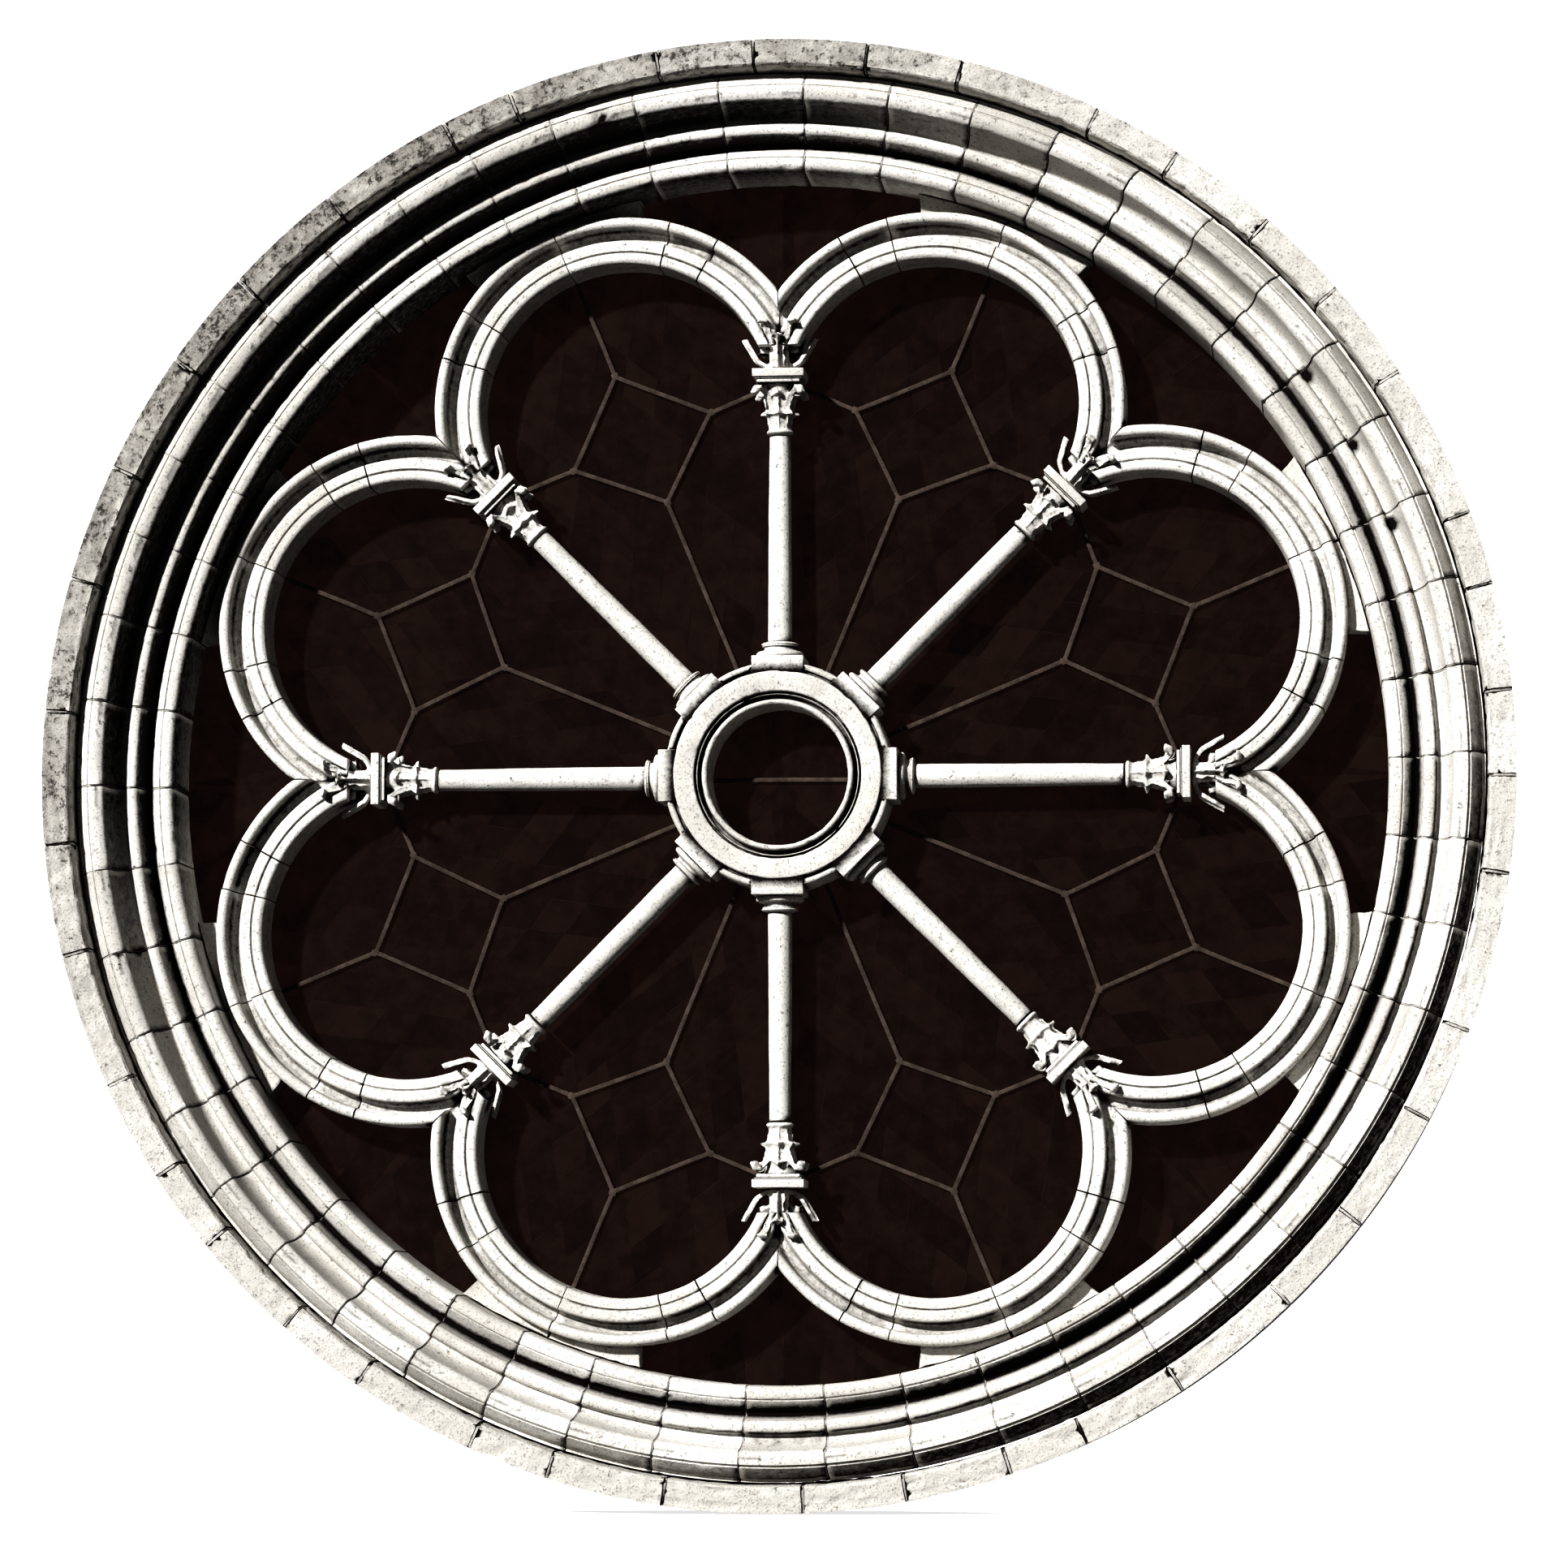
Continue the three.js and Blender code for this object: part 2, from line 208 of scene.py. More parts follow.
def inset(profile, distance):
    """A closed profile drawn in by a distance."""
    area = sum(
        a[0] * b[1] - b[0] * a[1] for a, b in zip(profile, profile[1:] + profile[:1]))
    side = 1 if area > 0 else -1
    drawn = []
    for i, point in enumerate(profile):
        before = Vector(point) - Vector(profile[i - 1])
        after = Vector(profile[(i + 1) % len(profile)]) - Vector(point)
        along = before.normalized() + after.normalized()
        if along.length < 1e-6:
            along = after
        along.normalize()
        inwards = Vector((-along.y, along.x)) * side
        drawn.append(tuple(Vector(point) + inwards * distance))
    return drawn


def divided(points, longest):
    """An open run of points with its long straight parts divided."""
    out = []
    for a, b in zip(points, points[1:]):
        parts = max(1, math.ceil((Vector(b) - Vector(a)).length / longest))
        out += [tuple(Vector(a).lerp(Vector(b), i / parts)) for i in range(parts)]
    return out + [points[-1]]


# Solid shapes


def swept(bm, profile, start, end, steps, arris=0):
    """A stone with a (radius, depth) profile, turned about the axis between two angles.

    With an arris, the edges of both end faces are worn back by that much. Returns its vertices.
    """
    first = len(bm.verts)
    drawn = inset(profile, arris) if arris else profile
    reach = sum(radius for radius, _ in profile) / len(profile)
    ease = arris / reach
    place = clockwise(start)
    ring = [bm.verts.new(place @ Vector((0, -depth, radius))) for radius, depth in drawn]
    edges = [bm.edges.new((ring[i - 1], ring[i])) for i in range(len(ring))]
    opening = list(edges)
    rings = [ring]
    turns = [(ease, 1), (end - start - 2 * ease, steps), (ease, 1)] if arris else [
        (end - start, steps)]
    for sweep, count in turns:
        spun = bmesh.ops.spin(
            bm, geom=rings[-1] + edges, cent=(0, 0, 0), axis=(0, 1, 0), angle=sweep, steps=count,
            use_merge=False)
        edges = [e for e in spun["geom_last"] if isinstance(e, bmesh.types.BMEdge)]
        rings.append([v for v in spun["geom_last"] if isinstance(v, bmesh.types.BMVert)])
    bmesh.ops.edgeloop_fill(bm, edges=opening)
    bmesh.ops.edgeloop_fill(bm, edges=edges)
    bm.verts.ensure_lookup_table()
    made = bm.verts[first:]
    if arris:
        swell(made, rings[0] + rings[-1], profile, drawn)
    return made


def swell(made, ends, profile, drawn):
    """Moves a stone's middle out from its worn end profile to its full profile."""
    ends = set(ends)
    wide = {
        (round(small[0], 5), round(small[1], 5)): full for full, small in zip(profile, drawn)}
    for vert in made:
        if vert in ends:
            continue
        radius = math.hypot(vert.co.x, vert.co.z)
        full = wide.get((round(radius, 5), round(-vert.co.y, 5)))
        if full:
            scale = full[0] / radius
            vert.co = Vector((vert.co.x * scale, -full[1], vert.co.z * scale))


def full_turn(bm, profile, steps):
    """A closed (radius, depth) profile turned all the way round the axis."""
    first = len(bm.verts)
    ring = [bm.verts.new((0, -depth, radius)) for radius, depth in profile]
    edges = [bm.edges.new((ring[i - 1], ring[i])) for i in range(len(ring))]
    bmesh.ops.spin(
        bm, geom=ring + edges, cent=(0, 0, 0), axis=(0, 1, 0), angle=math.tau, steps=steps,
        use_merge=True)
    bm.verts.ensure_lookup_table()
    return bm.verts[first:]


def turned_on_spoke(bm, outline, steps):
    """A closed body with an outline of (height, radius) pairs, turned about the Z axis."""
    first = len(bm.verts)
    path = [(outline[0][0], 0)] + list(outline) + [(outline[-1][0], 0)]
    line = [bm.verts.new((radius, 0, height)) for height, radius in path]
    edges = [bm.edges.new(pair) for pair in zip(line, line[1:])]
    bmesh.ops.spin(
        bm, geom=line + edges, cent=(0, 0, 0), axis=(0, 0, 1), angle=math.tau, steps=steps,
        use_merge=True)
    bm.verts.ensure_lookup_table()
    made = bm.verts[first:]
    bmesh.ops.remove_doubles(bm, verts=made, dist=1e-5)
    bm.verts.ensure_lookup_table()
    return bm.verts[first:]


def block(bm, low, high, edge, place=Matrix()):
    """A block between two corners with its edges rounded, then put in its place."""
    low, high = Vector(low), Vector(high)
    made = bmesh.ops.create_cube(bm, size=1)["verts"]
    bmesh.ops.scale(bm, vec=high - low, verts=made)
    bmesh.ops.translate(bm, vec=(low + high) / 2, verts=made)
    rounded = bmesh.ops.bevel(
        bm, geom=list({e for v in made for e in v.link_edges}), offset=edge, affect="EDGES",
        segments=2, profile=0.5, material=-1)
    made = list({v for f in rounded["faces"] for v in f.verts})
    bmesh.ops.transform(bm, matrix=place, verts=made)
    return made


def leaf(spine, widths, cup, ridge, thickness, lobes=0):
    """A carved leaf on the outside of a bell about the Z axis, on its +X side.

    spine holds (distance out, height) pairs from foot to tip and widths the half width at each.
    The edges bend back by cup, the midrib stands out by ridge, and lobes scallop the edge.
    """
    bm = bmesh.new()
    bmesh.ops.create_grid(bm, x_segments=8, y_segments=14, size=1)
    steps = len(spine) - 1
    for vert in bm.verts:
        u, s = vert.co.x, (vert.co.y + 1) / 2
        i = min(int(s * steps), steps - 1)
        t = s * steps - i
        ease = t * t * (3 - 2 * t)
        out, up = Vector(spine[i]).lerp(Vector(spine[i + 1]), t)
        half = widths[i] + (widths[i + 1] - widths[i]) * ease
        if lobes:
            half *= 1 - 0.22 * abs(math.sin(math.pi * lobes * s)) ** 2
        rib = ridge * (math.exp(-(u * 5) ** 2) - 0.9 * math.exp(-((abs(u) - 0.45) * 4) ** 2))
        vert.co = Vector((out - cup * u * u * (0.4 + s) + rib, u * half, up))
    bm.normal_update()
    facing = math.copysign(thickness, sum(v.normal.x for v in bm.verts))
    behind = {v: v.co - v.normal * facing for v in bm.verts}
    sheet = list(bm.verts)
    bmesh.ops.extrude_face_region(bm, geom=list(bm.faces))
    for vert in sheet:
        vert.co = behind[vert]
    bmesh.ops.recalc_face_normals(bm, faces=bm.faces)
    return bm


def knob(bm, centre, radius):
    """A round boss."""
    made = bmesh.ops.create_icosphere(bm, subdivisions=3, radius=radius)["verts"]
    bmesh.ops.translate(bm, vec=centre, verts=made)


def stamped(bm, part, turns):
    """Adds a carved part at several angles about the Z axis, and frees it."""
    pattern = mesh_of(part, "part")
    for turn in turns:
        copy = pattern.copy()
        copy.transform(Matrix.Rotation(math.radians(turn), 4, "Z"))
        bm.from_mesh(copy)
        bpy.data.meshes.remove(copy)
    bpy.data.meshes.remove(pattern)


def bar(bm, start, end, width, depth, place=Matrix(), edge=0.002, bends=0):
    """A bar between two (x, z) places, its middle at depth zero, then put in its place."""
    start, end = Vector((start[0], 0, start[1])), Vector((end[0], 0, end[1]))
    run = end - start
    made = bmesh.ops.create_cube(bm, size=1)["verts"]
    bmesh.ops.scale(bm, vec=(width, depth, run.length), verts=made)
    long_edges = [
        e for e in {e for v in made for e in v.link_edges}
        if abs(e.verts[0].co.z - e.verts[1].co.z) > run.length / 2]
    if bends:
        cut = bmesh.ops.subdivide_edges(bm, edges=long_edges, cuts=bends)["geom_split"]
        long_edges = [e for e in cut if isinstance(e, bmesh.types.BMEdge)
                      and abs(e.verts[0].co.z - e.verts[1].co.z) > 1e-6]
    rounded = bmesh.ops.bevel(
        bm, geom=long_edges, offset=edge, affect="EDGES", segments=2, profile=0.5, material=-1)
    made = list({v for f in rounded["faces"] for v in f.verts})
    if bends:
        for vert in made:
            vert.co.x += noise.noise(Vector((start.x, start.z, vert.co.z * 4))) * 0.0025
    lean = Matrix.Rotation(math.atan2(run.x, run.z), 4, "Y")
    bmesh.ops.transform(
        bm, matrix=place @ Matrix.Translation((start + end) / 2) @ lean, verts=made)


# Wear and dirt
# Wear, stains and painted shade


def worn(verts, depth, size, seed=0.0, rough=0.0):
    """Wears a surface back along its normals, never out past it: depth at the most."""
    moves = []
    for vert in verts:
        at = vert.co / size + Vector((seed, seed * 0.7, -seed))
        broad = 0.5 + 0.5 * noise.noise(at)
        fine = 0.5 + 0.5 * noise.noise(at * 4.1)
        moves.append((vert, vert.normal * (depth * broad + rough * fine)))
    for vert, move in moves:
        vert.co -= move


def chipped(verts, depth, size, threshold, seed=0.0):
    """Knocks shallow chips out of a surface where a noise passes a threshold."""
    moves = []
    for vert in verts:
        at = vert.co / size + Vector((-seed, seed, seed * 1.3))
        hit = noise.noise(at) - threshold
        if hit > 0:
            moves.append((vert, vert.normal * min(depth, depth * hit * 5)))
    for vert, move in moves:
        vert.co -= move


def sky_directions(count):
    """Directions spread evenly over a sphere."""
    golden = math.pi * (3 - math.sqrt(5))
    out = []
    for i in range(count):
        height = 1 - 2 * (i + 0.5) / count
        ring = math.sqrt(1 - height * height)
        out.append(Vector((ring * math.cos(golden * i), ring * math.sin(golden * i), height)))
    return out


def sheltered(bm, reach, neighbours=(), rays=18):
    """Stores on every vertex, as painted shade, how much air round it is shut off by stone within a
    reach.
    """
    grime_and_shade = bm.verts.layers.float["grime_and_shade"]
    bm.normal_update()
    trees = [BVHTree.FromBMesh(bm)] + list(neighbours)
    directions = sky_directions(rays)
    for vert in bm.verts:
        start = vert.co + vert.normal * 0.002
        shut = 0.0
        for direction in directions:
            lean = direction.dot(vert.normal)
            if lean < 0:
                direction, lean = -direction, -lean
            nearest = min(
                (hit[3] for hit in (tree.ray_cast(start, direction, reach) for tree in trees)
                 if hit[0] is not None), default=reach)
            shut += lean * (1 - nearest / reach)
        vert[grime_and_shade] = max(vert[grime_and_shade], min(1.0, shut * 2 / len(directions)))


def darken_shade_side(bm, amount):
    """Darkens the faces turned away from the light, which comes from the upper left, as painted
    shade.
    """
    grime_and_shade = bm.verts.layers.float["grime_and_shade"]
    bm.normal_update()
    for vert in bm.verts:
        turned = (vert.normal.dot(SHADE_SIDE) - 0.25) / 0.45
        vert[grime_and_shade] += amount * min(1.0, max(0.0, turned))


def new_stone():
    """An empty mesh whose vertices carry their stone's tone and a darkening value for soot, stains
    and painted shade.
    """
    bm = bmesh.new()
    bm.verts.layers.float.new("tone")
    bm.verts.layers.float.new("grime_and_shade")
    return bm


def toned(bm, verts, tone, grime_and_shade=0.0):
    tone_layer, grime_and_shade_layer = bm.verts.layers.float["tone"], bm.verts.layers.float["grime_and_shade"]
    for vert in verts:
        vert[tone_layer] = tone
        vert[grime_and_shade_layer] = grime_and_shade


def mesh_of(bm, name):
    """Turns a finished bmesh into a mesh and frees it."""
    mesh = bpy.data.meshes.new(name)
    bm.to_mesh(mesh)
    bm.free()
    return mesh


def fused(bm, name, voxel):
    """Fuses overlapping carved bodies into one skin, and gives it back as a bmesh."""
    mesh = mesh_of(bm, name)
    rough = bpy.data.objects.new(name, mesh)
    bpy.context.collection.objects.link(rough)
    remesh = rough.modifiers.new("fuse", "REMESH")
    remesh.mode = "VOXEL"
    remesh.voxel_size = voxel
    smooth = rough.modifiers.new("soften", "SMOOTH")
    smooth.factor = 0.6
    smooth.iterations = 4
    skin = bpy.data.meshes.new_from_object(rough.evaluated_get(
        bpy.context.evaluated_depsgraph_get()))
    bpy.data.objects.remove(rough)
    bpy.data.meshes.remove(mesh)
    out = new_stone()
    out.from_mesh(skin)
    bpy.data.meshes.remove(skin)
    if not out.verts:
        raise RuntimeError(f"{name} came out empty")
    return out


def finished(name, mesh, material, nodes, crease=38):
    """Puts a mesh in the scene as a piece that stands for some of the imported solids."""
    mesh.name = name
    mesh.materials.clear()
    mesh.materials.append(material)
    mesh.shade_smooth()
    mesh.set_sharp_from_angle(angle=math.radians(crease))
    piece = bpy.data.objects.new(name, mesh)
    bpy.context.collection.objects.link(piece)
    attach(piece, "root")
    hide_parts(*nodes)
    return piece


def placed_copies(master, name, material, node, wear=0.0):
    """Puts a copy of a master stone on every spoke, each worn a little differently."""
    for k in range(SPOKES):
        bm = bmesh.new()
        bm.from_mesh(master)
        bmesh.ops.transform(bm, matrix=clockwise(k * SPOKE), verts=bm.verts)
        bm.normal_update()
        tone = bm.verts.layers.float["tone"]
        shade = random.Random(f"{name}{k}").uniform(-0.12, 0.12)
        for vert in bm.verts:
            vert[tone] += shade
        if wear:
            worn(bm.verts, wear, 0.11, seed=k * 3.7 + 1)
        # painted shade on the faces turned away from the light
        darken_shade_side(bm, 0.30)
        finished(f"{name}_{k + 1}", mesh_of(bm, name), material, [f"{node}_{k + 1}"])
    bpy.data.meshes.remove(master)


# Finishes


def add(tree, kind, inputs=None, **settings):
    """Adds a node. inputs gives a socket its value, or the output that it is linked to."""
    node = tree.nodes.new(kind)
    for name, value in settings.items():
        setattr(node, name, value)
    for socket, value in (inputs or {}).items():
        if isinstance(value, bpy.types.NodeSocket):
            tree.links.new(value, node.inputs[socket])
        else:
            node.inputs[socket].default_value = value
    return node


def new_material(name, roughness, metallic=0.0, specular=0.5):
    material = bpy.data.materials.new(name)
    material.use_nodes = True
    shader = material.node_tree.nodes["Principled BSDF"]
    shader.inputs["Roughness"].default_value = roughness
    shader.inputs["Metallic"].default_value = metallic
    shader.inputs["Specular IOR Level"].default_value = specular
    return material, material.node_tree, shader


def per_metre(millimetres):
    """The scale of a pattern whose features are this many millimetres apart."""
    return 1000 / millimetres


def blended(tree, factor, first, second):
    """The colour output of a blend between two colours."""
    def four(value):
        return value if isinstance(value, bpy.types.NodeSocket) else (*value, 1)
    return add(tree, "ShaderNodeMix", {0: factor, 6: four(first), 7: four(second)},
               data_type="RGBA", clamp_factor=True).outputs[2]


def ranged(tree, value, low, high, to_low=0.0, to_high=1.0):
    return add(tree, "ShaderNodeMapRange", {
        0: value, 1: low, 2: high, 3: to_low, 4: to_high}).outputs[0]


def sum_of(tree, first, second, kind="ADD"):
    return add(tree, "ShaderNodeMath", {0: first, 1: second}, operation=kind).outputs[0]


def limestone(name, finish, crust, bumpiness):
    """Pale limestone, sawn and rubbed, then weathered outdoors: chalky white faces with duller
    clouds and a fine pitted grain, one stone a little warmer than the next, soot in the joints,
    painted shade in the hollows and on faces turned from the light, and a grey crust, set by
    crust, where rain and lichen have had it longest."""
    material, tree, shader = new_material(name, 0.92, specular=0.2)
    where = add(tree, "ShaderNodeTexCoord").outputs["Object"]
    tone = add(tree, "ShaderNodeAttribute", attribute_name="tone").outputs["Fac"]
    grime_and_shade = add(tree, "ShaderNodeAttribute", attribute_name="grime_and_shade").outputs["Fac"]
    clouds = add(tree, "ShaderNodeTexNoise", {
        "Vector": where, "Scale": per_metre(260), "Detail": 6, "Roughness": 0.62}).outputs[0]
    blotches = add(tree, "ShaderNodeTexNoise", {
        "Vector": where, "Scale": per_metre(70), "Detail": 8, "Roughness": 0.7}).outputs[0]
    # Pits in the stone are 1 to 3 mm across, drawn here at 9 mm so that they show.
    pits = add(tree, "ShaderNodeTexNoise", {
        "Vector": where, "Scale": per_metre(9), "Detail": 3, "Roughness": 0.6}).outputs[0]
    lichen = add(tree, "ShaderNodeTexNoise", {
        "Vector": where, "Scale": per_metre(28), "Detail": 5, "Roughness": 0.75}).outputs[0]
    face = blended(tree, ranged(tree, sum_of(tree, clouds, tone), 0.80, 1.25),
                   finish.stone_shade, finish.stone)
    face = blended(tree, ranged(tree, pits, 0.54, 0.70, 0, 0.7), face, finish.patina)
    # Crust grows on the upper left of the ring, which the rain reaches, and in broad patches.
    across = add(tree, "ShaderNodeSeparateXYZ", {0: where}).outputs
    aspect = sum_of(tree, sum_of(tree, across["Z"], across["X"], "SUBTRACT"), 0.13, "MULTIPLY")
    spread = sum_of(tree, sum_of(tree, blotches, sum_of(tree, clouds, 0.7, "MULTIPLY")), aspect)
    crusted = ranged(tree, spread, 1.38 - crust, 1.80 - crust, 0, 0.35 + crust)
    face = blended(tree, crusted, face, finish.patina)
    dotted = ranged(tree, sum_of(tree, lichen, sum_of(tree, crusted, 0.16, "MULTIPLY")),
                    0.60, 0.70, 0, 0.8)
    face = blended(tree, dotted, face, finish.dirt_and_shade)
    # Soot and mortar in the joints, and painted shade in hollows and on faces turned from the
    # light, darken the face here.
    ragged_soot_and_shade = sum_of(tree, grime_and_shade, ranged(tree, lichen, 0.3, 0.7, -0.09, 0.09))
    face = blended(tree, ranged(tree, ragged_soot_and_shade, 0.22, 0.62), face, finish.dirt_and_shade)
    tree.links.new(face, shader.inputs["Base Color"])
    rough = add(tree, "ShaderNodeBump", {
        "Height": lichen, "Strength": 0.5, "Distance": 0.003 * bumpiness})
    grain = add(tree, "ShaderNodeBump", {
        "Height": pits, "Strength": 0.6, "Distance": 0.0018 * bumpiness,
        "Normal": rough.outputs[0]})
    tree.links.new(grain.outputs[0], shader.inputs["Normal"])
    return material


def dressed_limestone(finish):
    """Limestone cut with chisel and rubbed smooth: nearly white, little crust."""
    return limestone("dressed_limestone", finish, 0.08, 1.4)


def rough_limestone(finish):
    """Rough-hewn limestone of the outer course: greyer, crusted, uneven."""
    return limestone("rough_limestone", finish, 0.35, 2.6)


def rusted_iron(finish):
    """Hammered wrought iron, long outdoors: matt brown rust with darker scale and a pitted skin."""
    material, tree, shader = new_material("rusted_iron", 0.82, specular=0.3)
    where = add(tree, "ShaderNodeTexCoord").outputs["Object"]
    flakes = add(tree, "ShaderNodeTexNoise", {
        "Vector": where, "Scale": per_metre(45), "Detail": 6, "Roughness": 0.7}).outputs[0]
    hammered = add(tree, "ShaderNodeTexNoise", {
        "Vector": where, "Scale": per_metre(22), "Detail": 2}).outputs[0]
    face = blended(tree, ranged(tree, flakes, 0.4, 0.62), finish.iron_scale, finish.iron)
    tree.links.new(face, shader.inputs["Base Color"])
    dents = add(tree, "ShaderNodeBump", {
        "Height": hammered, "Strength": 0.5, "Distance": 0.002})
    tree.links.new(dents.outputs[0], shader.inputs["Normal"])
    return material


def old_glass(finish):
    """Old blown glass with a dark room behind it: near black, rippled, with a faint brown glow
    painted on as light from the room, and dust that is heavier on some panes than on others."""
    material, tree, shader = new_material("old_glass", 0.35, specular=0.05)
    where = add(tree, "ShaderNodeTexCoord").outputs["Object"]
    tone = add(tree, "ShaderNodeAttribute", attribute_name="tone").outputs["Fac"]
    dust = add(tree, "ShaderNodeTexNoise", {
        "Vector": where, "Scale": per_metre(60), "Detail": 6, "Roughness": 0.6}).outputs[0]
    ripples = add(tree, "ShaderNodeTexNoise", {
        "Vector": where, "Scale": per_metre(80), "Detail": 1}).outputs[0]
    face = blended(tree, ranged(tree, sum_of(tree, dust, tone), 0.7, 1.4),
                   finish.glass, finish.glass_dust)
    tree.links.new(face, shader.inputs["Base Color"])
    # painted light: the glass itself glows faintly, standing in for the room's light seen through
    # it
    painted_room_glow = blended(tree, ranged(tree, sum_of(tree, dust, tone), 0.7, 1.2),
                      tuple(c * 0.55 for c in finish.room), finish.room)
    tree.links.new(painted_room_glow, shader.inputs["Emission Color"])
    shader.inputs["Emission Strength"].default_value = 1.0
    waves = add(tree, "ShaderNodeBump", {
        "Height": ripples, "Strength": 0.4, "Distance": 0.003})
    tree.links.new(waves.outputs[0], shader.inputs["Normal"])
    return material


def dull_lead(finish):
    """Lead strip, long weathered: dark grey, soft, without any shine."""
    material, tree, shader = new_material("dull_lead", 0.7, specular=0.25)
    where = add(tree, "ShaderNodeTexCoord").outputs["Object"]
    bloom = add(tree, "ShaderNodeTexNoise", {
        "Vector": where, "Scale": per_metre(30), "Detail": 4}).outputs[0]
    face = blended(tree, ranged(tree, bloom, 0.4, 0.7), finish.lead, finish.glass_dust)
    tree.links.new(face, shader.inputs["Base Color"])
    return material


def matt_plaster(finish):
    """Plain pale floor, matt as plaster, with a faint mottle, lit through like a photo table so
    that it meets the white behind it."""
    material, tree, shader = new_material("matt_plaster", 0.9, specular=0.1)
    where = add(tree, "ShaderNodeTexCoord").outputs["Object"]
    mottle = add(tree, "ShaderNodeTexNoise", {
        "Vector": where, "Scale": per_metre(900), "Detail": 3}).outputs[0]
    shade = tuple(c * 0.97 for c in finish.floor)
    face = blended(tree, mottle, tuple(finish.floor), shade)
    tree.links.new(face, shader.inputs["Base Color"])
    shader.inputs["Emission Color"].default_value = (1, 1, 1, 1)
    shader.inputs["Emission Strength"].default_value = 0.45
    return material


def finish_of(name, maker):
    """The named material, made on first use."""
    return bpy.data.materials.get(name) or maker(bpy.context.scene.window_finish)


def dressed():
    return finish_of("dressed_limestone", dressed_limestone)


# The pieces


def ring_profile(ring, grooved=True):
    """Rebate and flat back, bold inner roll, thin roll, deep hollow, thick outer roll."""
    bold = arc((2.525, 0.398), (0.035, 0.042), 180, 90, 6) + [
        (2.540, 0.4392), (2.558, 0.430), (2.570, 0.418), (2.582, 0.404), (2.592, 0.390),
        (2.601, 0.374)]
    thick = [
        (2.747, 0.578), (2.751, 0.594), (2.762, 0.604), (2.780, 0.611), (2.800, 0.614),
        (2.808, 0.6125), (2.824, 0.598), (2.836, 0.583), (2.848, 0.566), (2.858, 0.548),
        (2.865, 0.528)]
    if grooved:
        bold, thick = quirk(bold, 2.549), quirk(thick, 2.816)
    edge = ring.ring_radius - 0.0003
    return (
        [(ring.rebate, 0), (ring.rebate, 0.112), (ring.opening, 0.112)]
        + bold
        + [(2.611, 0.370)]
        + arc((2.657, 0.460), (0.028, 0.026), 190, -20, 12)
        + arc((2.690, 0.584), (0.056, 0.150), -90, 0, 9)[:-1]
        + thick
        + [(2.868, 0.516), (edge, 0.516), (edge, 0)])


class WINDOW_OT_ring(bpy.types.Operator):
    """Carve the moulded ring, stone by stone"""
    bl_idname = "window.ring"
    bl_label = "Moulded ring"

    # Damp stains, as (clockwise angle from the top, radius, size, strength).
    STAINS = (
        (53.6, 2.700, 0.045, 1.0), (60.9, 2.700, 0.040, 0.9), (68.5, 2.700, 0.045, 1.0),
        (-14.7, 2.790, 0.080, 0.5), (176.3, 2.722, 0.055, 0.34), (178.0, 2.718, 0.060, 0.32),
        (179.8, 2.724, 0.055, 0.36), (181.5, 2.716, 0.060, 0.30), (-48.2, 2.830, 0.040, 0.6),
        (-40.5, 2.830, 0.040, 0.6),
    )

    def execute(self, context):
        ring = context.scene.window_ring
        profile = ring_profile(ring)
        pitch = math.tau / ring.stones
        pattern = self.pattern(profile, pitch, ring.joint / 2.7)
        bm = new_stone()
        dice = random.Random(11)
        for i in range(ring.stones):
            first = len(bm.verts)
            copy = pattern.copy()
            copy.transform(clockwise(ring.first_joint + i * pitch + dice.gauss(0, 0.0002)))
            bm.from_mesh(copy)
            bpy.data.meshes.remove(copy)
            bm.verts.ensure_lookup_table()
            tone, push = 0.5 + dice.uniform(-0.22, 0.22), dice.uniform(0.0, 0.0035)
            layer = bm.verts.layers.float["tone"]
            for vert in bm.verts[first:]:
                vert[layer] = tone
                if vert.co.y < -0.2:
                    vert.co.y += push
        bpy.data.meshes.remove(pattern)
        bm.normal_update()
        worn(bm.verts, 0.0025, 0.09, rough=0.0015)
        chipped(bm.verts, 0.005, 0.030, 0.44, seed=3.1)
        layer = bm.verts.layers.float["grime_and_shade"]
        for bearing, radius, size, strength in self.STAINS:
            angle = math.radians(bearing)
            middle = Vector((radius * math.sin(angle), 0, radius * math.cos(angle)))
            for vert in bm.verts:
                away = Vector((vert.co.x - middle.x, 0, vert.co.z - middle.z)).length
                if vert.co.y < -0.3 and away < size:
                    vert[layer] += strength * (1 - away / size)
        filling = inset(ring_profile(ring, grooved=False), 0.0048)
        half = 0.0012
        for i in range(ring.stones):
            joint = ring.first_joint + i * pitch
            toned(bm, swept(bm, filling, joint - half, joint + half, 1), 0.2, 0.34)
        bmesh.ops.recalc_face_normals(bm, faces=bm.faces)
        # painted shade on the faces turned away from the light
        darken_shade_side(bm, 0.60)
        finished("stone_ring", mesh_of(bm, "stone_ring"), dressed(), ["moulded_ring"])
        return {"FINISHED"}

    def pattern(self, profile, pitch, gap):
        """One stone beside the first joint, with painted shade in its hollows."""
        whole = new_stone()
        full_turn(whole, profile, 180)
        bmesh.ops.recalc_face_normals(whole, faces=whole.faces)
        around = BVHTree.FromBMesh(whole)
        whole.free()
        bm = new_stone()
        swept(bm, profile, gap / 2, pitch - gap / 2, 13, arris=0.002)
        bmesh.ops.recalc_face_normals(bm, faces=bm.faces)
        sheltered(bm, 0.06, [around], rays=60)
        grime_and_shade = bm.verts.layers.float["grime_and_shade"]
        runs = {}
        for vert in bm.verts:
            place = (round(math.hypot(vert.co.x, vert.co.z), 3), round(vert.co.y, 3))
            runs.setdefault(place, []).append(vert)
        # Painted shade is strongest in the valley behind the inner roll and weak in the deep
        # hollow.
        for (radius, _), run in runs.items():
            level = sum(vert[grime_and_shade] for vert in run) / len(run)
            for vert in run:
                vert[grime_and_shade] = min(1.0, level * (1.6 if 2.58 < radius < 2.64 else 0.45))
        return mesh_of(bm, "ring_stone")


